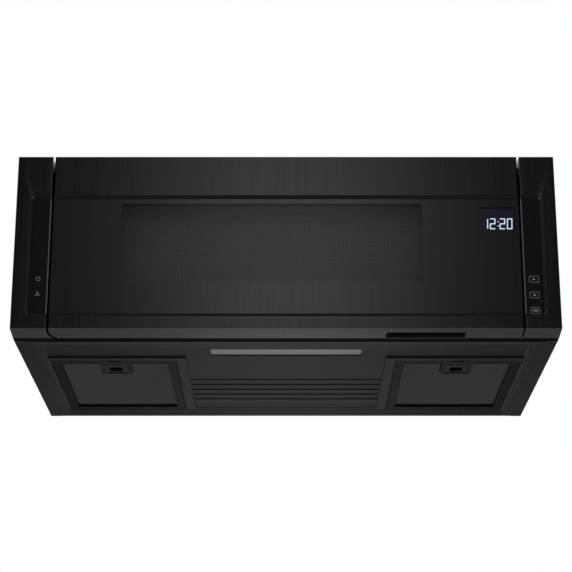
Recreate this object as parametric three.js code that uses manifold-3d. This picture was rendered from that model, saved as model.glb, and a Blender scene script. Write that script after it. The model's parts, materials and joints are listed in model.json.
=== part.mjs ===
// Over-the-range microwave oven with a cooktop hood underneath.
// Millimetres. X runs to the right, Y to the rear and Z up.
// The origin is the centre of the rear face, which hangs on the wall.

import * as THREE from 'three';
import { mergeVertices } from 'three/addons/utils/BufferGeometryUtils.js';
import Module from 'manifold-3d';

// ---- Driving dimensions ----

// Overall size
const width = 759;
const height = 260;
const depth = 455;

// Sheets, walls and clearances
const seat = 0.3; // gap between two pieces that are fastened together
const sheet = 1.2; // case, cavity and rear panel
const panSheet = 1.5;
const shellWall = 2; // door frame and columns
const plasticWall = 1.5;

// Door and columns, seen from the front
const columnWidth = 49.7;
const doorGap = 2.8;
const railBottom = 22.1; // from the underside to the lower lip
const lipBottom = 3.6;
const glassHeight = 171.1;
const lipTop = 5.3;
const keyGlassWidth = 25.6;
const keyLip = 3.7;
const keyCornerRadius = 7;
const keyBoardMargin = 2;
const windowWidth = 421.5;
const windowLow = 73.5; // above the underside
const windowHeight = 115.7;
const clockSideInset = 30; // centre from the door's right edge
const clockLow = 150; // above the underside
const clockWidth = 48;
const clockHeight = 34;

// Door and columns, from front to rear
const doorThickness = 38;
const doorStandoff = 4; // from the door's back to the front plate
const underBevel = 4.8; // rise of the lower edge towards the front
const frontEdgeRadius = 1.5;
const columnCornerRadius = 3;
const columnRelief = 8; // height of the recess under the columns' rear edge
const glassRecess = 2.5;
const doorGlassThickness = 4;
const keyGlassThickness = 3;
const boardThickness = 1.6;

// Door hinges
const hingeInset = 13; // hinge axis behind the door's front
const doorSwing = 95; // degrees
const reliefClearance = 0.6;
const hingePinRadius = 3;
const hingePinHead = 5;
const hingePinClearance = 0.4;
const hingePinOverhang = 4; // pin past each side of the arm
const hingeArmWidth = 10;
const hingeArmThickness = 4;
const hingeArmClearance = 1;
const hingeEyeRadius = 7;
const hingePlateThickness = 2;
const hingePlateWidth = 37;
const hingePlateHeight = 22;
const upperHingeDrop = 12; // below the top
const lowerHingeRise = 13; // above the underside

// Door inside
const screenThickness = 1.5;
const screenMargin = 8;
const chokeThickness = 2.5;
const chokeOverlap = 16; // past the cavity's mouth
const chokeInset = 6; // inside the cavity's mouth
const chokeCornerRadius = 6;
const clockBoardThickness = 5;
const clockBoardMargin = 2; // round the display

// Finger pocket in the door's lower edge
const pocketSideInset = 133.5; // centre from the door's right edge
const pocketWidth = 107;
const pocketInset = 16; // behind the door's front
const pocketMouth = 14;
const pocketHeight = 30;
const pocketCornerRadius = 3;

// Door latch
const hookSideInset = 25; // from the door's right edge
const hookInset = 70; // from the top and from the underside
const hookThickness = 4;
const hookHeight = 10;
const hookNose = 4;
const hookNoseLength = 6;
const hookReach = 23; // past the door's back
const hookTravel = 4;
const hookSlotClearance = 1;
const hookSideClearance = 0.6;
const hookSwingClearance = 3.5; // on the side that the hook swings towards
const latchPlateDepth = 12;
const latchPlateHeight = 180;
const latchBoardThickness = 2.5;
const latchBoardShelfGap = 2.8;
const latchBoardMargin = 14; // beside the hooks
const latchBoardHead = 15; // above the upper hook
const switchWidth = 16;
const switchDepth = 24;
const switchHeight = 14;
const switchPlunger = 2;
const switchPlungerSize = 4;
const switchClearance = 2; // above a lifted hook

// Oven cavity
const leftDuctWidth = 111.5; // from the case's left side to the cavity
const compartmentWidth = 151.5; // from the cavity to the case's right side
const cavityFloorRise = 45; // above the underside
const cavityHeadroom = 45; // below the top
const plateBottomGap = 3; // front plate above the underside

// Turntable
const trayWallGap = 12.5; // to the cavity's rear wall
const trayThickness = 5;
const trayRimRise = 12;
const trayRimSlope = 10;
const ringRadius = 87;
const ringThickness = 6;
const ringHeight = 5;
const rollerTrack = 100; // radius of the rollers' path
const rollerRadius = 7;
const rollerWidth = 8;
const rollerBore = 2.4;
const axleRadius = 2;
const axleCapRadius = 3.2;
const axleCapLength = 2;
const rollerSideGap = 0.5;
const rollerCount = 3;
const couplerRadius = 9;
const couplerLobeRadius = 4;
const couplerLobeReach = 11;
const couplerHoleClearance = 3;
const motorShaftRadius = 3;
const motorShaftLength = 12;
const turntableMotorRadius = 25;
const turntableMotorHeight = 16;
const motorEarReach = 33;
const motorEarWidth = 12;
const motorEarThickness = 2;

// Case details
const caseFlange = 16.5; // bottom flange on each side
const caseFlangeSetback = 2;
const exhaustWidth = 254;
const exhaustDepth = 82.5;
const exhaustRearGap = 5.5;
const boltSpacing = 500;
const boltInset = 40; // behind the front plate
const boltHoleRadius = 4;
const wallSlotWidth = 30;
const wallSlotHeight = 5;
const wallSlotRise = 20;
const wallSlotSpacing = 160;
const wallSlotCount = 4;
const glandSideInset = 49.5; // from the case's right side
const glandInset = 60; // from the rear
const glandRadius = 10.7;
const glandBore = 5;
const glandFlangeRadius = 15;
const glandFlangeThickness = 4;
const glandLength = 14;

// Base pan
const panSetback = 6; // behind the front plate
const panEdgeHeight = 8;
const panStepOuter = 30.7; // from the case's side to the foot of the step
const panStepRun = 6.7;
const panStepFront = 19.3; // behind the front plate
const panStepFrontRun = 11.9;
const panStepRear = 20; // in front of the rear face
const panStepRearRun = 19;
const panStepRise = 4;
const panStepRadius = 8;
const platformMargin = 15.5; // inside the filters
const platformFront = 134.4; // behind the door's front
const platformDrop = 2.5;
const ribCount = 5;
const ribFirst = 255.5; // behind the door's front
const ribSpacing = 27.5;
const ribWidth = 8;
const ribTopWidth = 4;
const ribRise = 1.2;
const ribEndGap = 1; // to the platforms

// Cooktop lamp
const lensWidth = 217;
const lensFront = 99; // behind the door's front
const lensDepth = 30;
const lensSink = 1.2; // above the pan's underside
const lensRadius = 5;
const lensFlange = 3;
const lensFlangeThickness = 1.5;
const lampBoxHeight = 12;
const lampBoxMargin = 3;
const lampLedCount = 6;
const lampLedSize = 5;
const lampLedRise = 2;

// Grease filters
const filterSideInset = 38.5; // from the case's side
const filterWidth = 181;
const filterFront = 151; // behind the door's front
const filterRearInset = 40; // in front of the rear face
const filterHeight = 7.5;
const filterBorder = 12;
const filterGap = 1; // round the frame
const filterRearGap = 0.5;
const filterRebate = 3;
const meshRecess = 3.4;
const meshThickness = 3;
const filterTabWidth = 24;
const filterTabLength = 4;
const filterTabThickness = 1.5;
const filterTabSpacing = 110;
const latchHousingWidth = 44;
const latchHousingLength = 64;
const filterLatchWidth = 33;
const filterLatchLength = 37;
const filterLatchFront = 169; // behind the door's front
const filterLatchThickness = 5;
const filterLatchTravel = 4;
const filterLatchFrontGap = 2;
const filterLatchSlack = 0.5;
const tongueWidth = 16;
const tongueThickness = 1.7;
const tongueReach = 3; // past the frame's front edge
const tongueClearance = 1.5;
const fingerHoleWidth = 18.5;
const fingerHoleLength = 20;
const fingerHoleInset = 12; // behind the latch's front edge

// Component compartment
const shelfRise = 41; // above the underside
const shelfEdge = 10;
const shelfRearGap = 4; // in front of the cavity's rear wall
const waveguideDepth = 32;
const waveguideFanGap = 42;
const waveguideHeight = 65;
const waveguideLampGap = 25;
const waveguideDrop = 43; // below the cavity's ceiling
const apertureLength = 70;
const apertureHeight = 45;
const apertureInset = 10; // from the waveguide's front end
const coverMargin = 5;
const antennaRadius = 9;
const antennaHoleRadius = 16;
const antennaLength = 18;
const antennaInset = 30; // from the waveguide's rear end
const magnetronLength = 85;
const magnetronWidth = 76;
const magnetronHeight = 78;
const magnetronWall = 3;
const magnetronCoreRadius = 18;
const magnetronFinCount = 5;
const magnetronFinThickness = 1.2;
const magnetronFinReach = 31;
const transformerWidth = 90;
const transformerLength = 84;
const magnetronGap = 22.5; // from the magnetron to the transformer
const transformerFanGap = 14; // from the coil to the shroud
const coilMargin = 12;
const coilInset = 9;
const capacitorWidth = 50;
const capacitorHeight = 34;
const capacitorLength = 80;
const capacitorSideGap = 20.8; // to the cavity
const capacitorGap = 10; // from the terminals to the coil
const terminalRadius = 3;
const terminalHeight = 8;
const powerBoardLength = 170;
const powerBoardHeight = 130;
const powerBoardFront = 20; // behind the front plate
const powerBoardStandoff = 5;
const powerBoardRise = 12.8; // above the shelf's edge
const standoffSize = 8;
const relayWidth = 22;
const relayHeight = 18;
const relayDepth = 16;
const relayCount = 4;
const relayRise = 18; // above the board's lower edge
const noiseFilterWidth = 50;
const noiseFilterHeight = 44;
const noiseFilterDrop = 60; // below the top
const noiseFilterStandoff = 10;
const noiseCoilRadius = 12;
const noiseCoilLength = 16;
const lampSize = 30;
const lampInset = 28; // behind the front plate
const lampDrop = 25; // below the cavity's ceiling
const lampLensSize = 16;
const lampDepth = 26;

// Cooling fan
const fanSideInset = 73.3; // centre from the case's side sheet
const fanDrop = 85.5; // below the shroud's top
const fanRadius = 44;
const fanTipClearance = 4;
const fanInset = 128; // shroud's front face in front of the rear face
const shroudThickness = 6;
const shroudTopGap = 21.3; // below the case's top sheet
const fanHubRadius = 14;
const fanHubLength = 16;
const fanHubWall = 3;
const fanBladeRoot = 2; // blade inside the hub
const fanBladeCount = 5;
const fanBladeChord = 22;
const fanBladeThickness = 1.5;
const fanBladePitch = 32; // degrees
const fanMotorSize = 44;
const fanMotorDepth = 20;
const fanShaftRadius = 2.5;
const shaftClearance = 0.3;
const fanMotorStandoff = 8;
const strutWidth = 8;

// Hood blower
const blowerHalfLength = 125;
const blowerInset = 40; // wheel axis in front of the rear face
const blowerDrop = 35; // housing's open end below the top
const blowerAxisDrop = 43; // below the housing's open end
const blowerHousingRadius = 34.5;
const blowerFrontGap = 2.3; // to the cavity's rear wall
const blowerInletRadius = 24;
const wheelRadius = 30;
const wheelLength = 80;
const wheelEndGap = 6;
const wheelBladeCount = 16;
const wheelBladeDepth = 6;
const wheelBladeThickness = 1.4;
const wheelRingDepth = 4;
const wheelHubRadius = 9;
const wheelHubLength = 27;
const wheelDiscThickness = 2;
const blowerShaftRadius = 4;
const blowerMotorRadius = 24;
const blowerMotorHalfLength = 26;
const blowerFootWidth = 24;

// Exhaust frame and damper
const exhaustWall = 2;
const exhaustFloor = 4.2;
const exhaustFloorHoleInset = 7;
const damperPinRadius = 1.5;
const damperPinClearance = 0.3;
const damperThickness = 1.5;
const damperSideGap = 2;
const damperEdge = 8; // flap past the hole in the floor
const damperHingeInset = 6; // behind the frame's front wall

// ---- Places worked out from the sizes ----

const halfWidth = width / 2;
const top = height / 2;
const bottom = -height / 2;
const front = -depth;
const caseInner = halfWidth - sheet;
const doorHalf = halfWidth - columnWidth - doorGap;
const clockCentre = doorHalf - clockSideInset;
const pocketCentre = doorHalf - pocketSideInset;
const hookX = doorHalf - hookSideInset;
const doorBack = front + doorThickness;
const plateFront = doorBack + doorStandoff;
const plateBack = plateFront + sheet;
const glassFront = front + glassRecess;
const glassLow = bottom + railBottom + lipBottom;
const glassHigh = glassLow + glassHeight;
const doorGlassSeat = glassFront + doorGlassThickness + seat;
const keyGlassSeat = glassFront + keyGlassThickness + seat;
const cavityLeft = -halfWidth + leftDuctWidth;
const cavityRight = halfWidth - compartmentWidth;
const windowCentre = (cavityLeft + cavityRight) / 2;
const windowLeft = windowCentre - windowWidth / 2;
const windowRight = windowCentre + windowWidth / 2;
const windowFoot = bottom + windowLow;
const windowHead = windowFoot + windowHeight;
const hingeRadius = doorThickness - hingeInset;
const hingeX = -doorHalf + hingeRadius;
const hingeY = front + hingeInset;
const reliefRadius = Math.hypot(hingeRadius, hingeInset) + reliefClearance;
const columnSideWall = reliefRadius - hingeRadius + shellWall;
const upperHingeZ = top - upperHingeDrop;
const lowerHingeZ = bottom + lowerHingeRise;
const upperPinTop = top - shellWall - seat;
const bevelAtPin = underBevel * (1 - (hingeInset - hingePinHead) / doorThickness);
const lowerPinFoot = bottom + bevelAtPin + shellWall + seat;
const innerPanelFront = doorBack - sheet;
const hookZs = [top - hookInset, bottom + hookInset];
const switchY = plateBack + seat + latchBoardThickness + seat;
const switchLift = hookHeight / 2 + hookTravel + switchPlunger + switchClearance;
const blowerY = -blowerInset;
const cavityFloor = bottom + cavityFloorRise;
const cavityCeiling = top - cavityHeadroom;
const cavityRear = blowerY - blowerHousingRadius - blowerFrontGap - sheet;
const cavityWallRight = cavityRight + sheet;
const turntableX = windowCentre;
const turntableY = (plateFront + cavityRear) / 2;
const trayRadius = cavityRear - turntableY - trayWallGap;
const rollerZ = cavityFloor + seat + rollerRadius;
const trayUnderside = rollerZ + rollerRadius + seat;
const motorTop = cavityFloor - sheet - seat;
const filterCentre = halfWidth - filterSideInset - filterWidth / 2;
const platformHalfGap = filterCentre - filterWidth / 2 - platformMargin;
const panHalf = halfWidth - caseFlange - seat;
const panFront = plateFront + panSetback;
const panFloorUnder = bottom + panStepRise;
const panFloorTop = panFloorUnder + panSheet;
const platformUnder = panFloorUnder - platformDrop;
const filterRear = -filterRearInset;
const filterTop = platformUnder + filterHeight;
const filterLatchTop = platformUnder + filterLatchThickness;
const shelfTop = bottom + shelfRise + sheet;
const waveguideX = cavityWallRight + seat;
const lampY = plateFront + lampInset + lampSize / 2;
const lampZ = cavityCeiling - lampDrop;
const fanY = -fanInset;
const waveguideStart = lampY + lampSize / 2 + waveguideLampGap;
const waveguideEnd = fanY - waveguideFanGap;
const waveguideZ = cavityCeiling - waveguideDrop;
const magnetronX = waveguideX + waveguideDepth + seat;
const antennaY = waveguideEnd - antennaInset;
const glandX = halfWidth - glandSideInset;
const fanCentreX = caseInner - fanSideInset;
const capacitorX = cavityWallRight + capacitorSideGap + capacitorWidth / 2;
const powerBoardBack = caseInner - seat - powerBoardStandoff;
const powerBoardFace = powerBoardBack - boardThickness;
const transformerX = (cavityWallRight + powerBoardFace - relayDepth) / 2;
const transformerTop = waveguideZ - magnetronHeight / 2 - magnetronGap;
const transformerStart = fanY - transformerFanGap - coilMargin - transformerLength;
const capacitorEnd = transformerStart - coilMargin - capacitorGap - terminalHeight;
const shroudTop = top - sheet - shroudTopGap;
const fanZ = shroudTop - fanDrop;
const noiseFilterZ = top - noiseFilterDrop;
const blowerTop = top - blowerDrop;
const blowerZ = blowerTop - blowerAxisDrop;
const exhaustRear = -exhaustRearGap;
const exhaustFront = exhaustRear - exhaustDepth;
const exhaustFrameFoot = blowerTop + seat;
const damperRest = exhaustFrameFoot + exhaustFloor + seat;
const damperHingeY = exhaustFront + damperHingeInset;
const damperHingeZ = damperRest + damperPinRadius;
const overcut = 1; // how far a cutter passes the face that it cuts
const overlap = 0.1; // how far joined shapes run into each other

// ---- Solids ----

const wasm = await Module();
wasm.setup();

const { Shape, Vector2, Vector3, Matrix4 } = THREE;

/** A solid that can be cut and joined, from a closed geometry. */
function toSolid(geometry) {
  geometry.deleteAttribute('normal');
  geometry.deleteAttribute('uv');
  const welded = mergeVertices(geometry);
  const corners = welded.index.array;
  const triangles = [];
  for (let i = 0; i < corners.length; i += 3) {
    const [a, b, c] = corners.slice(i, i + 3);
    const isFlat = a === b || b === c || c === a;
    if (!isFlat) triangles.push(a, b, c);
  }
  const mesh = new wasm.Mesh({
    numProp: 3,
    vertProperties: welded.attributes.position.array,
    triVerts: Uint32Array.from(triangles),
  });
  return new wasm.Manifold(mesh);
}

function toGeometry(solid) {
  const mesh = solid.getMesh();
  const geometry = new THREE.BufferGeometry();
  geometry.setAttribute('position', new THREE.BufferAttribute(mesh.vertProperties, 3));
  geometry.setIndex(new THREE.BufferAttribute(mesh.triVerts, 1));
  return geometry;
}

function asSolid(item) {
  return item.isBufferGeometry ? toSolid(item) : item;
}

function join(...items) {
  return items.map(asSolid).reduce((sum, item) => sum.add(item));
}

function cut(base, ...tools) {
  return tools.map(asSolid).reduce((rest, tool) => rest.subtract(tool), asSolid(base));
}

function common(...items) {
  return items.map(asSolid).reduce((rest, item) => rest.intersect(item));
}

/** A box from three [low, high] ranges. */
function block([x0, x1], [y0, y1], [z0, z1]) {
  const geometry = new THREE.BoxGeometry(x1 - x0, y1 - y0, z1 - z0);
  return geometry.translate((x0 + x1) / 2, (y0 + y1) / 2, (z0 + z1) / 2);
}

/** The range of a given length round a middle. */
function around(middle, length) {
  return [middle - length / 2, middle + length / 2];
}

const OUTLINE_PLANES = {
  x: new Matrix4().makeBasis(new Vector3(0, 1, 0), new Vector3(0, 0, 1), new Vector3(1, 0, 0)),
  y: new Matrix4().makeBasis(new Vector3(1, 0, 0), new Vector3(0, 0, 1), new Vector3(0, -1, 0)),
  z: new Matrix4(),
};

/** An outline in (y, z), (x, z) or (x, y), drawn out along the axis that is left. */
function prism(outline, axis, [from, to], curveSegments = 4) {
  const options = { depth: to - from, bevelEnabled: false, curveSegments };
  const geometry = new THREE.ExtrudeGeometry(outline, options);
  geometry.applyMatrix4(OUTLINE_PLANES[axis]);
  const start = { x: [from, 0, 0], y: [0, to, 0], z: [0, 0, from] }[axis];
  return geometry.translate(...start);
}

function polygon(points) {
  return new Shape(points.map(([u, v]) => new Vector2(u, v)));
}

function disc([u, v], radius) {
  return new Shape().absarc(u, v, radius, 0, 2 * Math.PI);
}

/** A round bar. Its centre is given in the two axes across it. */
function rod(axis, centre, radius, range, sides = 24) {
  return prism(disc(centre, radius), axis, range, sides / 2);
}

function roundedRectangle([u0, u1], [v0, v1], radius) {
  const outline = new Shape();
  outline.absarc(u1 - radius, v0 + radius, radius, -Math.PI / 2, 0);
  outline.absarc(u1 - radius, v1 - radius, radius, 0, Math.PI / 2);
  outline.absarc(u0 + radius, v1 - radius, radius, Math.PI / 2, Math.PI);
  outline.absarc(u0 + radius, v0 + radius, radius, Math.PI, 1.5 * Math.PI);
  return outline;
}

/** A solid of revolution about the Z axis. The profile's points are [radius, z]. */
function lathe(profile, sides = 32) {
  const points = profile.map(([radius, z]) => new Vector2(radius, z));
  return new THREE.LatheGeometry(points, sides).rotateX(Math.PI / 2);
}

/** The solid between two convex outlines with equally many points, each a list of Vector3. */
function loft(first, second) {
  const count = first.length;
  const triangles = [];
  for (let i = 0; i < count; i += 1) {
    const next = (i + 1) % count;
    triangles.push(i, next, count + next, i, count + next, count + i);
  }
  for (let i = 1; i < count - 1; i += 1) {
    triangles.push(0, i + 1, i, count, count + i, count + i + 1);
  }
  const geometry = new THREE.BufferGeometry().setFromPoints([...first, ...second]);
  return geometry.setIndex(triangles);
}

function outlinePoints(outline, place) {
  const cornerSegments = 3;
  const points = outline.getPoints(cornerSegments);
  if (points[0].distanceTo(points.at(-1)) < 1e-6) points.pop();
  return points.map(place);
}

/** Copies of a geometry turned about the Z axis in equal steps. */
function ringOf(count, makeOne) {
  const step = (2 * Math.PI) / count;
  return Array.from({ length: count }, (_, i) => makeOne().rotateZ(i * step));
}

// ---- Case ----

function outerCase() {
  const below = [bottom - overcut, bottom + sheet + overcut];
  const reach = [plateFront - overcut, overcut];
  return cut(
    block([-halfWidth, halfWidth], [plateFront, 0], [bottom, top]),
    block([-caseInner, caseInner], reach, [bottom + sheet, top - sheet]),
    block([-panHalf - seat, panHalf + seat], reach, below),
    block([-caseInner, caseInner], [plateFront - overcut, plateFront + caseFlangeSetback], below),
    block(around(0, exhaustWidth), [exhaustFront, exhaustRear], [top - 2 * sheet, top + overcut]),
    rod('z', [glandX, -glandInset], glandRadius + seat, [top - 2 * sheet, top + overcut]),
    ...[-1, 1].map((side) => {
      const centre = [(side * boltSpacing) / 2, plateFront + boltInset];
      return rod('z', centre, boltHoleRadius, [top - 2 * sheet, top + overcut], 16);
    }),
  );
}

function rearPanel() {
  const reachX = caseInner - seat;
  const reachZ = top - sheet - seat;
  const slotZ = [bottom + wallSlotRise, bottom + wallSlotRise + wallSlotHeight];
  const slots = Array.from({ length: wallSlotCount }, (_, i) => {
    const middle = (i - (wallSlotCount - 1) / 2) * wallSlotSpacing;
    return block(around(middle, wallSlotWidth), [-sheet - overcut, overcut], slotZ);
  });
  return cut(block([-reachX, reachX], [-sheet, 0], [-reachZ, reachZ]), ...slots);
}

/** The hollow under the pan's stepped floor, or the same grown by a sheet for its upper side. */
function panStep(grow) {
  const outerX = halfWidth - panStepOuter + grow;
  const outerY = [plateFront + panStepFront - grow, -panStepRear + grow];
  const innerX = outerX - panStepRun;
  const innerY = [outerY[0] + panStepFrontRun, outerY[1] - panStepRearRun];
  const low = roundedRectangle([-outerX, outerX], outerY, panStepRadius);
  const high = roundedRectangle([-innerX, innerX], innerY, panStepRadius);
  const lowZ = bottom + grow;
  const highZ = panFloorUnder + grow;
  return loft(
    outlinePoints(low, (point) => new Vector3(point.x, point.y, lowZ)),
    outlinePoints(high, (point) => new Vector3(point.x, point.y, highZ)),
  );
}

function filterBay(side) {
  const reachX = filterWidth / 2 + filterGap;
  const centre = side * filterCentre;
  const reachY = [front + filterFront - filterGap, filterRear + filterRearGap];
  const reachZ = [bottom - overcut, panFloorTop + overcut];
  const notchEnd = front + filterFront - tongueReach - tongueClearance;
  const notch = block(
    around(centre, tongueWidth + 2 * tongueClearance),
    [notchEnd, reachY[0] + overcut],
    reachZ,
  );
  return join(block([centre - reachX, centre + reachX], reachY, reachZ), notch);
}

function panRib(index) {
  const middle = front + ribFirst + index * ribSpacing;
  const outline = polygon([
    [middle - ribWidth / 2, panFloorUnder + panSheet / 2],
    [middle - ribTopWidth / 2, panFloorUnder - ribRise],
    [middle + ribTopWidth / 2, panFloorUnder - ribRise],
    [middle + ribWidth / 2, panFloorUnder + panSheet / 2],
  ]);
  const half = platformHalfGap - ribEndGap;
  return prism(outline, 'x', [-half, half]);
}

function basePan() {
  const rearEdge = -sheet - seat;
  const rim = block([-panHalf, panHalf], [panFront, rearEdge], [bottom, bottom + panSheet]);
  const upturn = [bottom, bottom + panEdgeHeight];
  const edges = [-1, 1].map((side) => {
    const outer = side * panHalf;
    const inner = side * (panHalf - panSheet);
    const reach = [Math.min(outer, inner), Math.max(outer, inner)];
    return block(reach, [panFront, rearEdge], upturn);
  });
  const frontHalf = panHalf - panSheet / 2; // runs into the side edges
  const frontEdge = block([-frontHalf, frontHalf], [panFront, panFront + panSheet], upturn);
  const formed = cut(join(rim, frontEdge, ...edges, panStep(panSheet)), panStep(0));
  const stepInner = halfWidth - panStepOuter - panStepRun;
  const platforms = [-1, 1].map((side) => {
    const inner = side * platformHalfGap;
    const outer = side * (stepInner + panSheet);
    const rear = -panStepRear - panStepRearRun;
    const reach = [Math.min(outer, inner), Math.max(outer, inner)];
    return block(reach, [front + platformFront, rear], [platformUnder, panFloorTop]);
  });
  const ribs = Array.from({ length: ribCount }, (_, i) => panRib(i));
  return cut(join(formed, ...platforms, ...ribs), filterBay(-1), filterBay(1), lensHole());
}

// ---- Columns ----

/** Side view of the front edge, which the door and the columns share. */
function frontProfile(rear) {
  const outline = new Shape();
  outline.moveTo(front, bottom + underBevel);
  outline.lineTo(front, top - frontEdgeRadius);
  const arcY = front + frontEdgeRadius;
  outline.absarc(arcY, top - frontEdgeRadius, frontEdgeRadius, Math.PI, Math.PI / 2, true);
  outline.lineTo(rear, top);
  outline.lineTo(rear, bottom);
  outline.lineTo(doorBack, bottom);
  return outline;
}

/** Plan of a column. On the hinge side it wraps round the path of the door's edge. */
function columnPlan(side, rear) {
  const inner = halfWidth - columnWidth;
  const radius = columnCornerRadius;
  const outline = new Shape();
  outline.moveTo(halfWidth, rear);
  outline.lineTo(halfWidth, front + radius);
  outline.absarc(halfWidth - radius, front + radius, radius, 0, -Math.PI / 2, true);
  outline.lineTo(inner, front);
  if (side < 0) {
    const startAngle = Math.acos((inner + hingeX) / reliefRadius);
    const endAngle = Math.asin(hingeRadius / reliefRadius);
    outline.absarc(-hingeX, hingeY, reliefRadius, -startAngle, endAngle);
    outline.lineTo(-hingeX + reliefRadius * Math.cos(endAngle), rear);
  } else {
    outline.lineTo(inner, rear);
  }
  const points = outline.getPoints(5).map((point) => [side * point.x, point.y]);
  return polygon(points);
}

function keyRecess(side, growth, place) {
  const inner = halfWidth - columnWidth - 3 * keyCornerRadius;
  const outer = halfWidth - columnWidth + keyGlassWidth + growth * keyLip;
  const reachX = side < 0 ? [-outer, -inner] : [inner, outer];
  const reachZ = [glassLow - growth * lipBottom, glassHigh + growth * lipTop];
  const radius = keyCornerRadius + growth * keyLip;
  const outline = roundedRectangle(reachX, reachZ, radius);
  return place ? outlinePoints(outline, place) : outline;
}

function column(side) {
  const rear = plateFront - seat;
  const body = common(
    prism(columnPlan(side, rear), 'z', [bottom - overcut, top + overcut]),
    prism(frontProfile(rear), 'x', [-halfWidth - overcut, halfWidth + overcut]),
  );
  const fullGrowth = 1 + overcut / glassRecess;
  const lip = loft(
    keyRecess(side, 0, (point) => new Vector3(point.x, glassFront, point.y)),
    keyRecess(side, fullGrowth, (point) => new Vector3(point.x, front - overcut, point.y)),
  );
  const glassPocket = prism(keyRecess(side, 0), 'y', [glassFront - overlap, keyGlassSeat], 3);
  const hollowX = [halfWidth - columnWidth + columnSideWall, halfWidth - shellWall];
  const hollow = block(
    side < 0 ? [-hollowX[1], -hollowX[0]] : hollowX,
    [keyGlassSeat + shellWall, rear + overcut],
    [bottom + underBevel + shellWall, top - shellWall],
  );
  const relief = block(
    [-halfWidth - overcut, halfWidth + overcut],
    [doorBack, plateFront],
    [bottom - overcut, bottom + columnRelief],
  );
  return cut(body, lip, glassPocket, hollow, relief);
}

function keyGlass(side) {
  const outer = halfWidth - columnWidth + keyGlassWidth - seat;
  const inner = halfWidth - columnWidth;
  const reachZ = [glassLow + seat, glassHigh - seat];
  const hidden = inner - 2 * keyCornerRadius;
  const roundPart = prism(
    roundedRectangle(
      side < 0 ? [-outer, -hidden] : [hidden, outer],
      reachZ,
      keyCornerRadius - seat,
    ),
    'y',
    [glassFront, glassFront + keyGlassThickness],
    3,
  );
  const reach = side < 0 ? [-outer, -inner] : [inner, outer];
  return common(roundPart, block(reach, [front, doorBack], reachZ));
}

function keyBoard(side) {
  const inner = halfWidth - columnWidth + columnSideWall + keyBoardMargin;
  const outer = halfWidth - columnWidth + keyGlassWidth;
  const start = keyGlassSeat + shellWall + seat;
  return block(
    side < 0 ? [-outer, -inner] : [inner, outer],
    [start, start + boardThickness],
    [glassLow + keyBoardMargin, glassHigh - keyBoardMargin],
  );
}

// ---- Door ----

function doorProfile() {
  const outline = new Shape();
  outline.moveTo(front, bottom + underBevel);
  outline.lineTo(front, glassLow - lipBottom);
  outline.lineTo(glassFront, glassLow);
  outline.lineTo(doorGlassSeat, glassLow);
  outline.lineTo(doorGlassSeat, glassHigh);
  outline.lineTo(glassFront, glassHigh);
  outline.lineTo(front, glassHigh + lipTop);
  outline.lineTo(front, top - frontEdgeRadius);
  const arcY = front + frontEdgeRadius;
  outline.absarc(arcY, top - frontEdgeRadius, frontEdgeRadius, Math.PI, Math.PI / 2, true);
  outline.lineTo(doorBack, top);
  outline.lineTo(doorBack, bottom);
  return outline;
}

function doorHollowProfile() {
  const inner = front + shellWall;
  const behindGlass = doorGlassSeat + shellWall;
  const lowLip = glassLow - lipBottom - shellWall;
  const highLip = glassHigh + lipTop + shellWall;
  return polygon([
    [inner, bottom + underBevel + shellWall],
    [inner, lowLip],
    [behindGlass, lowLip],
    [behindGlass, highLip],
    [inner, highLip],
    [inner, top - shellWall],
    [doorBack + overcut, top - shellWall],
    [doorBack + overcut, bottom + shellWall],
  ]);
}

/** Plan of the door. Its rear edge is rounded about the hinge axis. */
function doorPlan(inset, rear) {
  const side = doorHalf - inset;
  const corner = frontEdgeRadius;
  const face = front + inset;
  const outline = new Shape();
  outline.moveTo(-side + corner, face);
  outline.lineTo(side - corner, face);
  outline.lineTo(side, face + corner);
  outline.lineTo(side, rear);
  outline.lineTo(hingeX, rear);
  outline.absarc(hingeX, hingeY, hingeRadius - inset, Math.PI / 2, Math.PI);
  outline.lineTo(-side, face + corner);
  return outline;
}

function hingeSlot(z) {
  const overSwing = THREE.MathUtils.degToRad(doorSwing - 90);
  const halfArm = hingeArmWidth / 2;
  const reach = hingeRadius * Math.tan(overSwing) + halfArm / Math.cos(overSwing);
  return block(
    [-doorHalf - overcut, hingeX + halfArm + hingeArmClearance],
    [hingeY - reach - hingeArmClearance, doorBack + overcut],
    around(z, hingeArmThickness + 2 * hingeArmClearance),
  );
}

function doorFrame() {
  const reachX = [-doorHalf - overcut, doorHalf + overcut];
  const reachZ = [bottom - overcut, top + overcut];
  const body = common(
    prism(doorProfile(), 'x', reachX),
    prism(doorPlan(0, doorBack), 'z', reachZ),
  );
  const hollow = common(
    prism(doorHollowProfile(), 'x', reachX),
    prism(doorPlan(shellWall, doorBack + overcut), 'z', reachZ),
  );
  const throughGlassSeat = [glassFront, doorGlassSeat + shellWall + overcut];
  const clockFoot = bottom + clockLow;
  return cut(
    body,
    hollow,
    block([windowLeft, windowRight], throughGlassSeat, [windowFoot, windowHead]),
    block(around(clockCentre, clockWidth), throughGlassSeat, [clockFoot, clockFoot + clockHeight]),
    hingeSlot(upperHingeZ),
    hingeSlot(lowerHingeZ),
    pocketBody(seat),
    pocketNotch(),
  );
}

function doorGlass() {
  return block(
    [-doorHalf, doorHalf],
    [glassFront, glassFront + doorGlassThickness],
    [glassLow + seat, glassHigh - seat],
  );
}

function hookSlot(z, sideClearance, range) {
  const low = z - hookHeight / 2 - hookNose - hookSlotClearance;
  const high = z + hookHeight / 2 + hookTravel + hookSlotClearance;
  const left = hookX - hookThickness / 2 - hookSideClearance;
  return block([left, hookX + hookThickness / 2 + sideClearance], range, [low, high]);
}

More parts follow.
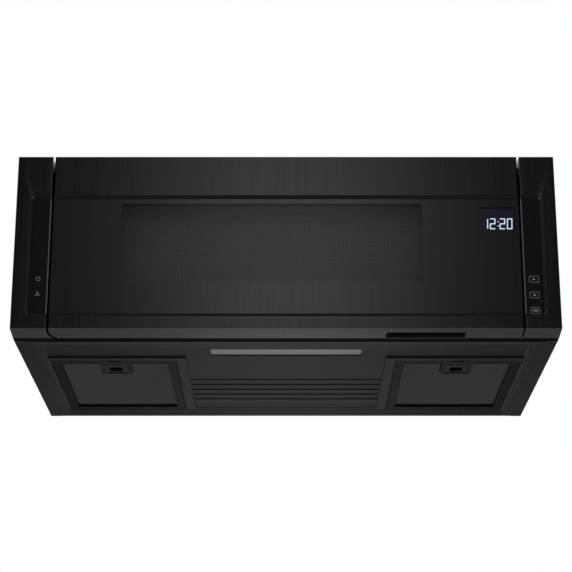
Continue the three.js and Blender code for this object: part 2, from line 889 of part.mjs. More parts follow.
function doorInnerPanel() {
  const left = hingeX + seat;
  const right = doorHalf - shellWall - seat;
  const low = bottom + shellWall + 2 * seat;
  const reachY = [innerPanelFront - overcut, doorBack + overcut];
  const notches = [upperHingeZ, lowerHingeZ].map((z) =>
    block(
      [left - overcut, hingeX + hingeArmWidth / 2 + hingeArmClearance],
      reachY,
      around(z, hingeArmThickness + 2 * hingeArmClearance),
    ),
  );
  const margin = screenMargin / 2;
  return cut(
    block([left, right], [innerPanelFront, doorBack], [low, top - shellWall - seat]),
    block(
      [windowLeft - margin, windowRight + margin],
      reachY,
      [windowFoot - margin, windowHead + margin],
    ),
    ...hookZs.map((z) => hookSlot(z, hookSideClearance, reachY)),
    ...notches,
  );
}

function doorScreen() {
  const rear = innerPanelFront - seat;
  return block(
    [windowLeft - screenMargin, windowRight + screenMargin],
    [rear - screenThickness, rear],
    [windowFoot - screenMargin, windowHead + screenMargin],
  );
}

function doorChokeRing() {
  const start = doorBack + seat;
  const outer = roundedRectangle(
    [cavityLeft - chokeOverlap, cavityRight + chokeOverlap],
    [cavityFloor - chokeOverlap, cavityCeiling + chokeOverlap],
    chokeCornerRadius,
  );
  const mouth = roundedRectangle(
    [cavityLeft + chokeInset, cavityRight - chokeInset],
    [cavityFloor + chokeInset, cavityCeiling - chokeInset],
    chokeCornerRadius,
  );
  return cut(
    prism(outer, 'y', [start, start + chokeThickness]),
    prism(mouth, 'y', [start - overcut, start + chokeThickness + overcut]),
  );
}

/** Outside of the finger pocket, cut off along the door's sloping lower edge. */
function pocketBody(grow) {
  const wall = plasticWall + grow;
  const plan = roundedRectangle(
    around(pocketCentre, pocketWidth + 2 * wall),
    [front + pocketInset - wall, front + pocketInset + pocketMouth + wall],
    pocketCornerRadius + wall,
  );
  return prism(plan, 'z', [bottom - overcut, bottom + pocketHeight + wall]);
}

/** Notch in the door's lower wall, from the middle of the finger pocket out to the back. */
function pocketNotch() {
  return block(
    around(pocketCentre, pocketWidth + 2 * (plasticWall + seat)),
    [front + pocketInset + pocketMouth / 2, doorBack + overcut],
    [bottom - overcut, bottom + underBevel + shellWall],
  );
}

/** Cup with a lip that fills the notch behind it. */
function handlePocket() {
  const mouthRear = front + pocketInset + pocketMouth;
  const mouth = roundedRectangle(
    around(pocketCentre, pocketWidth),
    [front + pocketInset, mouthRear],
    pocketCornerRadius,
  );
  const lip = block(
    around(pocketCentre, pocketWidth + 2 * plasticWall),
    [mouthRear - pocketCornerRadius, doorBack],
    [bottom - overcut, bottom + shellWall],
  );
  const cup = cut(
    join(pocketBody(0), lip),
    prism(mouth, 'z', [bottom - 2 * overcut, bottom + pocketHeight]),
  );
  return common(cup, prism(frontProfile(doorBack), 'x', [-doorHalf, doorHalf]));
}

function clockBoard() {
  const start = doorGlassSeat + shellWall + seat;
  const foot = bottom + clockLow;
  const board = block(
    around(clockCentre, clockWidth + 2 * clockBoardMargin),
    [start, start + clockBoardThickness],
    [foot - clockBoardMargin, foot + clockHeight + clockBoardMargin],
  );
  const display = block(
    around(clockCentre, clockWidth - 2 * seat),
    [start - shellWall, start + seat],
    [foot + seat, foot + clockHeight - seat],
  );
  return join(board, display);
}

function latchHead() {
  const reachX = around(hookX, hookThickness);
  const rear = innerPanelFront - seat;
  const tip = doorBack + hookReach;
  const half = latchPlateHeight / 2;
  const plate = block(reachX, [rear - latchPlateDepth, rear], [-half, half]);
  const hooks = hookZs.map((z) => {
    const low = z - hookHeight / 2;
    const arm = block(reachX, [rear - seat, tip], [low, z + hookHeight / 2]);
    const nose = block(reachX, [tip - hookNoseLength, tip], [low - hookNose, low + seat]);
    return join(arm, nose);
  });
  return join(plate, ...hooks);
}

/** Pin at the hinge axis, hung from the wall that its head lies against. */
function hingePin(armZ, headZ) {
  const up = Math.sign(headZ - armZ);
  const end = armZ - up * (hingeArmThickness / 2 + hingePinOverhang);
  const headInner = headZ - up * shellWall;
  const span = (a, b) => [Math.min(a, b), Math.max(a, b)];
  return join(
    rod('z', [hingeX, hingeY], hingePinRadius, span(end, headZ)),
    rod('z', [hingeX, hingeY], hingePinHead, span(headInner, headZ)),
  );
}

function hinge(z) {
  const half = hingeArmWidth / 2;
  const plateRear = plateFront - seat;
  const plateStart = plateRear - hingePlateThickness;
  const armZ = around(z, hingeArmThickness);
  const arm = block([hingeX - half, hingeX + half], [hingeY, plateRear], armZ);
  const eye = rod('z', [hingeX, hingeY], hingeEyeRadius, armZ);
  const plateX = [hingeX - half, hingeX - half + hingePlateWidth];
  const plate = block(plateX, [plateStart, plateRear], around(z, hingePlateHeight));
  const bore = rod('z', [hingeX, hingeY], hingePinRadius + hingePinClearance, [
    z - hingeArmThickness,
    z + hingeArmThickness,
  ]);
  return cut(join(arm, eye, plate), bore);
}

function latchBoard() {
  const start = plateBack + seat;
  const reachY = [start, start + latchBoardThickness];
  const cutY = [start - overcut, start + latchBoardThickness + overcut];
  const reachX = [hookX - latchBoardMargin, hookX + latchBoardMargin];
  const reachZ = [shelfTop + shelfEdge + latchBoardShelfGap, hookZs[0] + latchBoardHead];
  return cut(
    block(reachX, reachY, reachZ),
    ...hookZs.map((z) => hookSlot(z, hookSwingClearance, cutY)),
  );
}

/** Interlock switch above a hook, with its plunger pointing down. */
function interlockSwitch() {
  const body = block(around(0, switchWidth), [0, switchDepth], [0, switchHeight]);
  const plungerX = around(0, switchPlungerSize);
  const plungerY = around(switchDepth / 2, switchPlungerSize);
  return join(body, block(plungerX, plungerY, [-switchPlunger, seat]));
}

// ---- Oven cavity and turntable ----

function ovenCavity() {
  const plateX = caseInner - seat;
  const plateZ = [bottom + plateBottomGap, top - sheet - seat];
  const plate = block([-plateX, plateX], [plateFront, plateBack], plateZ);
  const shell = block(
    [cavityLeft - sheet, cavityWallRight],
    [plateFront, cavityRear + sheet],
    [cavityFloor - sheet, cavityCeiling + sheet],
  );
  const inside = block(
    [cavityLeft, cavityRight],
    [plateFront - overcut, cavityRear],
    [cavityFloor, cavityCeiling],
  );
  const throughWall = [cavityRight - overcut, cavityWallRight + overcut];
  const apertureStart = waveguideStart + apertureInset;
  const aperture = block(
    throughWall,
    [apertureStart, apertureStart + apertureLength],
    around(waveguideZ, apertureHeight),
  );
  const lampHole = block(
    throughWall,
    around(lampY, lampLensSize + 2 * seat),
    around(lampZ, lampLensSize + 2 * seat),
  );
  const shaftHole = rod('z', [turntableX, turntableY], couplerRadius + couplerHoleClearance, [
    cavityFloor - sheet - overcut,
    cavityFloor + overcut,
  ]);
  const throughPlate = [plateFront - overcut, plateBack + overcut];
  const hookSlots = hookZs.map((z) => hookSlot(z, hookSwingClearance, throughPlate));
  return cut(join(plate, shell), inside, aperture, lampHole, shaftHole, ...hookSlots);
}

function turntableTray() {
  const flat = trayRadius - trayRimSlope;
  return lathe(
    [
      [0, 0],
      [flat, 0],
      [trayRadius, trayRimRise],
      [trayRadius, trayRimRise + trayThickness / 2],
      [trayRadius - trayThickness, trayRimRise + trayThickness / 2],
      [flat - trayThickness / 2, trayThickness],
      [0, trayThickness],
    ],
    48,
  );
}

/** Hub that drives the tray, with three lobes, on the motor's shaft. */
function turntableCoupler() {
  const foot = cavityFloor + seat;
  const head = trayUnderside - seat;
  const lobes = ringOf(rollerCount, () =>
    rod('z', [couplerLobeReach, 0], couplerLobeRadius, [foot, head], 12),
  );
  const bore = rod('z', [0, 0], motorShaftRadius + shaftClearance, [
    foot - overcut,
    motorTop + motorShaftLength + seat,
  ]);
  return cut(join(rod('z', [0, 0], couplerRadius, [foot, head]), ...lobes), bore);
}

function rollerRing() {
  const half = ringThickness / 2;
  const zRange = around(0, ringHeight);
  const band = cut(
    rod('z', [0, 0], ringRadius + half, zRange, 48),
    rod('z', [0, 0], ringRadius - half, [zRange[0] - overcut, zRange[1] + overcut], 48),
  );
  const capStart = rollerTrack + rollerWidth / 2 + rollerSideGap;
  const axles = ringOf(rollerCount, () =>
    rod('x', [0, 0], axleRadius, [ringRadius, capStart + overcut], 12),
  );
  const caps = ringOf(rollerCount, () =>
    rod('x', [0, 0], axleCapRadius, [capStart, capStart + axleCapLength], 12),
  );
  return join(band, ...axles, ...caps);
}

/** Roller about the X axis, centred on the origin. */
function ringRoller() {
  const half = rollerWidth / 2;
  return cut(
    rod('x', [0, 0], rollerRadius, [-half, half]),
    rod('x', [0, 0], rollerBore, [-half - overcut, half + overcut], 12),
  );
}

function turntableMotor() {
  const can = rod('z', [0, 0], turntableMotorRadius, [-turntableMotorHeight, 0], 32);
  const ears = block(
    [-motorEarReach, motorEarReach],
    around(0, motorEarWidth),
    [-motorEarThickness, 0],
  );
  const shaft = rod('z', [0, 0], motorShaftRadius, [-overcut, motorShaftLength], 16);
  return join(can, ears, shaft);
}

// ---- Component compartment ----

function componentShelf() {
  const left = cavityWallRight + seat;
  const right = caseInner - seat;
  const reachY = [plateBack + seat, cavityRear - shelfRearGap];
  const low = shelfTop - sheet;
  return join(
    block([left, right], reachY, [low, shelfTop]),
    block([right - sheet, right], reachY, [low, shelfTop + shelfEdge]),
    block([left, right], [reachY[0], reachY[0] + sheet], [low, shelfTop + shelfEdge]),
  );
}

function waveguide() {
  const low = waveguideZ - waveguideHeight / 2;
  const high = waveguideZ + waveguideHeight / 2;
  const outer = waveguideX + waveguideDepth;
  return cut(
    block([waveguideX, outer], [waveguideStart, waveguideEnd], [low, high]),
    block(
      [waveguideX - overcut, outer - sheet],
      [waveguideStart + sheet, waveguideEnd - sheet],
      [low + sheet, high - sheet],
    ),
    rod('x', [antennaY, waveguideZ], antennaHoleRadius, [outer - 2 * sheet, outer + overcut]),
  );
}

function waveguideCover() {
  const start = waveguideStart + apertureInset - coverMargin;
  return block(
    [cavityRight - seat - sheet, cavityRight - seat],
    [start, start + apertureLength + 2 * coverMargin],
    around(waveguideZ, apertureHeight + 2 * coverMargin),
  );
}

/** Magnetron: a yoke that is open front and rear, a finned core and the antenna. */
function magnetron() {
  const right = magnetronX + magnetronWidth;
  const reachY = around(antennaY, magnetronLength);
  const reachZ = around(waveguideZ, magnetronHeight);
  const centre = [antennaY, waveguideZ];
  const yoke = cut(
    block([magnetronX, right], reachY, reachZ),
    block(
      [magnetronX + magnetronWall, right - magnetronWall],
      [reachY[0] - overcut, reachY[1] + overcut],
      [reachZ[0] + magnetronWall, reachZ[1] - magnetronWall],
    ),
  );
  const core = rod('x', centre, magnetronCoreRadius, [magnetronX + overcut, right - overcut], 16);
  const antennaX = [magnetronX - antennaLength, magnetronX + overcut];
  const antenna = rod('x', centre, antennaRadius, antennaX, 16);
  const finStep = magnetronWidth / (magnetronFinCount + 1);
  const fins = Array.from({ length: magnetronFinCount }, (_, i) =>
    block(
      around(magnetronX + (i + 1) * finStep, magnetronFinThickness),
      around(antennaY, 2 * magnetronFinReach),
      [reachZ[0] + overcut, reachZ[1] - overcut],
    ),
  );
  return join(yoke, core, antenna, ...fins);
}

function transformer() {
  const foot = shelfTop + seat;
  const start = transformerStart;
  const core = block(
    around(transformerX, transformerWidth),
    [start, start + transformerLength],
    [foot, transformerTop],
  );
  const coil = block(
    around(transformerX, transformerWidth - 2 * coilMargin),
    [start - coilMargin, start + transformerLength + coilMargin],
    [foot + coilInset, transformerTop - coilInset],
  );
  return join(core, coil);
}

function capacitor() {
  const foot = shelfTop + seat;
  const start = capacitorEnd - capacitorLength;
  const can = prism(
    roundedRectangle(
      around(capacitorX, capacitorWidth),
      [foot, foot + capacitorHeight],
      capacitorHeight / 2 - seat,
    ),
    'y',
    [start, capacitorEnd],
    6,
  );
  const terminals = [-1, 1].map((side) =>
    rod(
      'y',
      [capacitorX + (side * capacitorWidth) / 4, foot + capacitorHeight / 2],
      terminalRadius,
      [capacitorEnd - overcut, capacitorEnd + terminalHeight],
      8,
    ),
  );
  return join(can, ...terminals);
}

function powerBoard() {
  const rear = caseInner - seat;
  const boardX = [powerBoardFace, powerBoardBack];
  const start = plateFront + powerBoardFront;
  const end = start + powerBoardLength;
  const low = shelfTop + shelfEdge + powerBoardRise;
  const high = low + powerBoardHeight;
  const board = block(boardX, [start, end], [low, high]);
  const standoffs = [start, end - standoffSize].flatMap((y) =>
    [low, high - standoffSize].map((z) =>
      block([boardX[1] - seat, rear], [y, y + standoffSize], [z, z + standoffSize]),
    ),
  );
  const pitch = powerBoardLength / relayCount;
  const relays = Array.from({ length: relayCount }, (_, i) => {
    const middle = start + (i + 0.5) * pitch;
    const reachX = [boardX[0] - relayDepth, boardX[0] + seat];
    const foot = low + relayRise;
    return block(reachX, around(middle, relayWidth), [foot, foot + relayHeight]);
  });
  return join(board, ...standoffs, ...relays);
}

function noiseFilter() {
  const rear = -sheet - seat;
  const boardY = [rear - noiseFilterStandoff - boardThickness, rear - noiseFilterStandoff];
  const reachX = around(glandX, noiseFilterWidth);
  const reachZ = around(noiseFilterZ, noiseFilterHeight);
  const standoffs = [reachX[0], reachX[1] - standoffSize].map((x) =>
    block([x, x + standoffSize], [boardY[1] - seat, rear], around(noiseFilterZ, standoffSize)),
  );
  const coil = rod('y', [glandX, noiseFilterZ], noiseCoilRadius, [
    boardY[0] - noiseCoilLength,
    boardY[0] + seat,
  ]);
  return join(block(reachX, boardY, reachZ), coil, ...standoffs);
}

function ovenLamp() {
  const left = cavityWallRight + seat;
  const body = block([left, left + lampDepth], around(lampY, lampSize), around(lampZ, lampSize));
  const lens = block(
    [cavityRight, left + seat],
    around(lampY, lampLensSize),
    around(lampZ, lampLensSize),
  );
  return join(body, lens);
}

function cordGland() {
  const flangeTop = top - sheet - seat;
  const body = join(
    rod('z', [0, 0], glandRadius, [top - glandLength, top]),
    rod('z', [0, 0], glandFlangeRadius, [flangeTop - glandFlangeThickness, flangeTop]),
  );
  const bore = rod('z', [0, 0], glandBore, [top - glandLength - overcut, top + overcut], 16);
  return cut(body, bore);
}

// ---- Cooling fan ----

function coolingFanShroud() {
  const foot = shelfTop + seat;
  const plate = block(
    [cavityWallRight + seat, caseInner - sheet - 2 * seat],
    [fanY, fanY + shroudThickness],
    [foot, shroudTop],
  );
  const mouth = rod('y', [fanCentreX, fanZ], fanRadius + fanTipClearance, [
    fanY - overcut,
    fanY + shroudThickness + overcut,
  ], 32);
  return cut(plate, mouth);
}

/** Fan about the Z axis, centred on the origin. */
function coolingFanRotor() {
  const half = fanHubLength / 2;
  const hub = cut(
    rod('z', [0, 0], fanHubRadius, [-half, half]),
    rod('z', [0, 0], fanShaftRadius + shaftClearance, [-half + fanHubWall, half + overcut], 16),
  );
  const pitch = THREE.MathUtils.degToRad(fanBladePitch);
  const blades = ringOf(fanBladeCount, () => {
    const blade = block(
      [fanHubRadius - fanBladeRoot, fanRadius + overcut],
      around(0, fanBladeChord),
      around(0, fanBladeThickness),
    );
    return blade.rotateX(pitch);
  });
  const envelope = rod('z', [0, 0], fanRadius, [-fanBladeChord, fanBladeChord], 32);
  return common(join(hub, ...blades), envelope);
}

function coolingFanMotor() {
  const shroudRear = fanY + shroudThickness + seat;
  const start = fanY + shroudThickness + fanMotorStandoff;
  const reachX = around(fanCentreX, fanMotorSize);
  const reachZ = around(fanZ, fanMotorSize);
  const body = block(reachX, [start, start + fanMotorDepth], reachZ);
  const span = fanRadius + fanTipClearance + strutWidth;
  const strut = block(
    around(fanCentreX, 2 * span),
    [start, start + strutWidth],
    around(fanZ, strutWidth),
  );
  const feet = [-1, 1].map((side) =>
    block(
      around(fanCentreX + side * (span - strutWidth / 2), strutWidth),
      [shroudRear, start + strutWidth],
      around(fanZ, strutWidth),
    ),
  );
  const hubRear = fanY + shroudThickness / 2 + fanHubLength / 2;
  const shaft = rod('y', [fanCentreX, fanZ], fanShaftRadius, [
    hubRear - fanHubLength / 2,
    start + overcut,
  ], 16);
  return join(body, strut, ...feet, shaft);
}

// ---- Hood blower ----

/** U-shaped section of the blower's housing, open at the top. */
function blowerSection(radius, openTop) {
  const outline = new Shape();
  outline.moveTo(blowerY + radius, openTop);
  outline.lineTo(blowerY + radius, blowerZ);
  outline.absarc(blowerY, blowerZ, radius, 0, -Math.PI, true);
  outline.lineTo(blowerY - radius, openTop);
  return outline;
}

function blowerHousing() {
  const outer = blowerHalfLength;
  const inner = outer - sheet;
  return cut(
    prism(blowerSection(blowerHousingRadius, blowerTop), 'x', [-outer, outer], 10),
    prism(blowerSection(blowerHousingRadius - sheet, blowerTop + overcut), 'x', [-inner, inner], 10),
    rod('x', [blowerY, blowerZ], blowerInletRadius, [-outer - overcut, outer + overcut]),
  );
}

function blowerMotor() {
  const reachX = [-blowerMotorHalfLength, blowerMotorHalfLength];
  const centre = [blowerY, blowerZ];
  const footRadius = blowerHousingRadius - sheet - seat;
  const foot = common(
    block(reachX, around(blowerY, blowerFootWidth), [blowerZ - blowerHousingRadius, blowerZ]),
    rod('x', centre, footRadius, reachX, 48),
  );
  return cut(
    join(rod('x', centre, blowerMotorRadius, reachX), foot),
    rod('x', centre, blowerShaftRadius + shaftClearance, [
      reachX[0] - overcut,
      reachX[1] + overcut,
    ], 16),
  );
}

function blowerShaft() {
  const end = blowerHalfLength - wheelEndGap;
  return rod('x', [blowerY, blowerZ], blowerShaftRadius, [-end, end], 16);
}

/** Drum wheel about the Z axis from 0 to its length, with its disc at the lower end. */
function blowerWheel() {
  const bladeMiddle = wheelRadius - wheelBladeDepth / 2;
  const blades = ringOf(wheelBladeCount, () =>
    block(
      around(bladeMiddle, wheelBladeDepth - seat),
      around(0, wheelBladeThickness),
      [overcut, wheelLength - overcut],
    ),
  );
  const ring = cut(
    rod('z', [0, 0], wheelRadius, [wheelLength - wheelRingDepth, wheelLength], 32),
    rod('z', [0, 0], wheelRadius - wheelBladeDepth, [
      wheelLength - wheelRingDepth - overcut,
      wheelLength + overcut,
    ], 32),
  );
  const endDisc = rod('z', [0, 0], wheelRadius, [0, wheelDiscThickness], 32);
  const hub = rod('z', [0, 0], wheelHubRadius, [0, wheelHubLength], 12);
  const bore = rod('z', [0, 0], blowerShaftRadius + shaftClearance, [-overcut, wheelLength], 12);
  return cut(join(endDisc, hub, ring, ...blades), bore);
}

// ---- Exhaust ----

function exhaustFrame() {
  const outerX = exhaustWidth / 2 + exhaustWall;
  const innerX = exhaustWidth / 2;
  const high = top - sheet - seat;
  const shell = block(
    [-outerX, outerX],
    [exhaustFront - exhaustWall, exhaustRear + exhaustWall],
    [exhaustFrameFoot, high],
  );
  const duct = block(
    [-innerX, innerX],
    [exhaustFront, exhaustRear],
    [exhaustFrameFoot + exhaustFloor, high + overcut],
  );
  const inset = exhaustFloorHoleInset;
  const floorHole = block(
    [-blowerHalfLength + inset, blowerHalfLength - inset],
    [blowerY - blowerHousingRadius + inset, blowerY + blowerHousingRadius - inset],
    [exhaustFrameFoot - overcut, exhaustFrameFoot + exhaustFloor + overcut],
  );
  const pinHole = rod('x', [damperHingeY, damperHingeZ], damperPinRadius + damperPinClearance, [
    -outerX - overcut,
    outerX + overcut,
  ], 16);
  return cut(shell, duct, floorHole, pinHole);
}

function damperFlap() {
  const half = exhaustWidth / 2;
  const rear = blowerY + blowerHousingRadius - exhaustFloorHoleInset + damperEdge;
  const flap = block(
    [-half + damperSideGap, half - damperSideGap],
    [damperHingeY, Math.min(rear, exhaustRear - damperSideGap)],
    [damperRest, damperRest + damperThickness],
  );
  const pin = rod('x', [damperHingeY, damperHingeZ], damperPinRadius, [
    -half - exhaustWall,
    half + exhaustWall,
  ], 16);
  return join(flap, pin);
}

// ---- Cooktop lamp ----

function lensOutline(grow) {
  const start = front + lensFront;
  return roundedRectangle(
    around(0, lensWidth + 2 * grow),
    [start - grow, start + lensDepth + grow],
    lensRadius + grow,
  );
}

function lensHole() {
  return prism(lensOutline(seat), 'z', [bottom - overcut, panFloorTop + overcut]);
}

function lampLens() {
  const flangeFoot = panFloorTop + seat;
  return join(
    prism(lensOutline(0), 'z', [panFloorUnder + lensSink, flangeFoot + seat]),
    prism(lensOutline(lensFlange), 'z', [flangeFoot, flangeFoot + lensFlangeThickness]),
  );
}

/** Lamp housing over the lens, with a row of light-emitting diodes in its roof. */
function lampBoard() {
  const foot = panFloorTop + seat;
  const roof = foot + lampBoxHeight;
  const inner = lensFlange + lampBoxMargin;
  const box = cut(
    prism(lensOutline(inner + plasticWall), 'z', [foot, roof]),
    prism(lensOutline(inner), 'z', [foot - overcut, roof - plasticWall]),
  );
  const pitch = lensWidth / lampLedCount;
  const middleY = front + lensFront + lensDepth / 2;
  const leds = Array.from({ length: lampLedCount }, (_, i) => {
    const middleX = -lensWidth / 2 + (i + 0.5) * pitch;
    const low = roof - plasticWall - lampLedRise;
    return block(around(middleX, lampLedSize), around(middleY, lampLedSize), [low, roof - seat]);
  });
  return join(box, ...leds);
}

// ---- Grease filters, each drawn about its own centre line in X ----

function filterInner(grow) {
  const inset = filterBorder - grow;
  const half = filterWidth / 2 - inset;
  return [
    [-half, half],
    [front + filterFront + inset, filterRear - inset],
  ];
}

function latchHousingBlock(grow) {
  const start = front + filterFront;
  return block(
    around(0, latchHousingWidth + 2 * grow),
    [start, start + latchHousingLength + grow],
    [platformUnder, filterTop],
  );
}

function filterFrame() {
  const half = filterWidth / 2;
  const through = [platformUnder - overcut, filterTop + overcut];
  const meshFoot = platformUnder + meshRecess - seat;
  const border = cut(
    block([-half, half], [front + filterFront, filterRear], [platformUnder, filterTop]),
    block(...filterInner(0), through),
    block(...filterInner(filterRebate + seat), [meshFoot, filterTop + overcut]),
  );
  const latchStart = front + filterLatchFront;
  const latchEnd = latchStart + filterLatchLength + filterLatchTravel + filterLatchSlack;
  const roof = filterLatchTop + seat;
  const pocket = block(
    around(0, filterLatchWidth + 2 * seat),
    [latchStart - filterLatchFrontGap, latchEnd],
    [platformUnder - overcut, roof],
  );
  const holeStart = latchStart + fingerHoleInset;
  const fingerHole = block(
    around(0, fingerHoleWidth),
    [holeStart, holeStart + fingerHoleLength + filterLatchTravel],
    through,
  );
  const channel = block(
    around(0, tongueWidth + 2 * seat),
    [front + filterFront - overcut, latchStart],
    [filterLatchTop - tongueThickness - seat, roof],
  );
  const tabFoot = panFloorTop + seat;
  const tabs = [-1, 1].map((side) =>
    block(
      around((side * filterTabSpacing) / 2, filterTabWidth),
      [filterRear - filterBorder / 2, filterRear + filterTabLength],
      [tabFoot, tabFoot + filterTabThickness],
    ),
  );
  const housed = cut(join(border, latchHousingBlock(0)), pocket, fingerHole, channel);
  return join(housed, ...tabs);
}

function filterMesh() {
  const foot = platformUnder + meshRecess;
  const mesh = block(...filterInner(filterRebate), [foot, foot + meshThickness]);
  return cut(mesh, latchHousingBlock(seat));
}

function filterLatch() {
  const start = front + filterLatchFront;
  const body = block(
    around(0, filterLatchWidth),
    [start, start + filterLatchLength],
    [platformUnder, filterLatchTop],
  );
  const tongue = block(
    around(0, tongueWidth),
    [front + filterFront - tongueReach, start + seat],
    [filterLatchTop - tongueThickness, filterLatchTop],
  );
  const holeStart = start + fingerHoleInset;
  const fingerHole = block(
    around(0, fingerHoleWidth),
    [holeStart, holeStart + fingerHoleLength],
    [platformUnder - overcut, filterLatchTop + overcut],
  );
  return cut(join(body, tongue), fingerHole);
}

// ---- Assembly ----

function finish(color, roughness, metalness) {
  return { color, roughness, metalness };
}

const blackSteel = finish(0x2b2b2d, 0.38, 0.85);
const blackPaint = finish(0x222224, 0.5, 0.3);
const blackGlass = finish(0x0c0c0e, 0.06, 0);
const blackPlastic = finish(0x18181a, 0.55, 0);
const screenPaint = finish(0x101012, 0.5, 0.2);
const cavityPaint = finish(0x55575a, 0.45, 0.2);
const zincSteel = finish(0x9a9da0, 0.45, 0.8);
const clearGlass = finish(0xcfd8d6, 0.05, 0);
const whitePlastic = finish(0xd8d8d2, 0.5, 0);
const greyPlastic = finish(0x6c6f72, 0.5, 0);
const circuitBoard = finish(0x1f5a35, 0.5, 0);
const filterMetal = finish(0x8e9092, 0.4, 0.85);
const lampDiffuser = finish(0xb8b8b4, 0.35, 0);
const mica = finish(0xb3a58a, 0.7, 0);
const iron = finish(0x4d4640, 0.6, 0.6);
const aluminium = finish(0xb4b7ba, 0.35, 0.9);
const blackRubber = finish(0x141414, 0.8, 0);

const microwave = new THREE.Group();

/** Adds a named piece. Its place is where its own origin goes. */
function add(name, shape, material, place = [0, 0, 0], parent = microwave) {
  const mesh = new THREE.Mesh(toGeometry(asSolid(shape)), new THREE.MeshStandardMaterial(material));
  mesh.name = name;
  mesh.position.set(...place);
  parent.add(mesh);
  return mesh;
}

function addGroup(place) {
  const group = new THREE.Group();
  group.position.set(...place);
  microwave.add(group);
  return group;
}

add('outer_case', outerCase(), blackPaint);
add('rear_panel', rearPanel(), zincSteel);
add('base_pan', basePan(), blackPaint);
add('oven_cavity', ovenCavity(), cavityPaint);

for (const [name, side] of [['left', -1], ['right', 1]]) {
  add(`${name}_column`, column(side), blackSteel);
  add(`${name}_key_glass`, keyGlass(side), blackGlass);
  add(`${name}_key_board`, keyBoard(side), circuitBoard);
}

add('door_frame', doorFrame(), blackSteel);
add('door_glass', doorGlass(), blackGlass);
add('door_inner_panel', doorInnerPanel(), blackPaint);
add('door_screen', doorScreen(), screenPaint);
add('door_choke_ring', doorChokeRing(), blackPlastic);
add('handle_pocket', handlePocket(), blackPlastic);
add('clock_board', clockBoard(), blackPlastic);
add('latch_head', latchHead(), whitePlastic);
add('upper_hinge_pin', hingePin(upperHingeZ, upperPinTop), zincSteel);
add('lower_hinge_pin', hingePin(lowerHingeZ, lowerPinFoot), zincSteel);
add('upper_hinge', hinge(upperHingeZ), zincSteel);
add('lower_hinge', hinge(lowerHingeZ), zincSteel);
add('latch_board', latchBoard(), whitePlastic);
const switchNames = ['upper_interlock_switch', 'lower_interlock_switch'];
switchNames.forEach((name, i) => {
  add(name, interlockSwitch(), greyPlastic, [hookX, switchY, hookZs[i] + switchLift]);
});

const turntable = addGroup([turntableX, turntableY, 0]);
add('turntable_tray', turntableTray(), clearGlass, [0, 0, trayUnderside], turntable);
add('turntable_coupler', turntableCoupler(), whitePlastic, [0, 0, 0], turntable);
add('turntable_motor', turntableMotor(), greyPlastic, [0, 0, motorTop], turntable);
add('roller_ring', rollerRing(), whitePlastic, [0, 0, rollerZ], turntable);
for (let i = 0; i < rollerCount; i += 1) {
  const angle = (i * 2 * Math.PI) / rollerCount;
  const place = [rollerTrack * Math.cos(angle), rollerTrack * Math.sin(angle), rollerZ];
  const roller = add(`ring_roller_${i + 1}`, ringRoller(), whitePlastic, place, turntable);
  roller.rotation.z = angle;
}

add('component_shelf', componentShelf(), zincSteel);
add('waveguide', waveguide(), zincSteel);
add('waveguide_cover', waveguideCover(), mica);
add('magnetron', magnetron(), aluminium);
add('transformer', transformer(), iron);
add('capacitor', capacitor(), aluminium);
add('power_board', powerBoard(), circuitBoard);
add('noise_filter', noiseFilter(), circuitBoard);
add('oven_lamp', ovenLamp(), whitePlastic);
add('cord_gland', cordGland(), blackRubber, [glandX, -glandInset, 0]);

add('cooling_fan_shroud', coolingFanShroud(), greyPlastic);
add('cooling_fan_motor', coolingFanMotor(), iron);
const fanPlace = [fanCentreX, fanY + shroudThickness / 2, fanZ];
const fanRotor = add('cooling_fan_rotor', coolingFanRotor(), greyPlastic, fanPlace);
fanRotor.rotation.x = -Math.PI / 2;

add('blower_housing', blowerHousing(), zincSteel);
add('blower_motor', blowerMotor(), iron);
add('blower_shaft', blowerShaft(), zincSteel);
for (const [name, side] of [['left', -1], ['right', 1]]) {
  const start = side * (blowerHalfLength - wheelEndGap - wheelLength);
  const wheel = add(`${name}_blower_wheel`, blowerWheel(), aluminium, [start, blowerY, blowerZ]);
  wheel.rotation.y = (side * Math.PI) / 2;
}
add('exhaust_frame', exhaustFrame(), zincSteel);
add('damper_flap', damperFlap(), aluminium);

add('lamp_lens', lampLens(), lampDiffuser);
add('lamp_board', lampBoard(), whitePlastic);

for (const [name, side] of [['left', -1], ['right', 1]]) {
  const bay = addGroup([side * filterCentre, 0, 0]);
  add(`${name}_filter_frame`, filterFrame(), filterMetal, [0, 0, 0], bay);
  add(`${name}_filter_mesh`, filterMesh(), filterMetal, [0, 0, 0], bay);
  add(`${name}_filter_latch`, filterLatch(), blackPlastic, [0, 0, 0], bay);
}

export default microwave;
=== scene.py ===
"""Looks, light and camera for an over-the-range microwave oven, built round its CAD frame.

Metres. X runs to the right, Y to the rear and Z up. The origin is the centre of the rear face.
"""

import json
import math

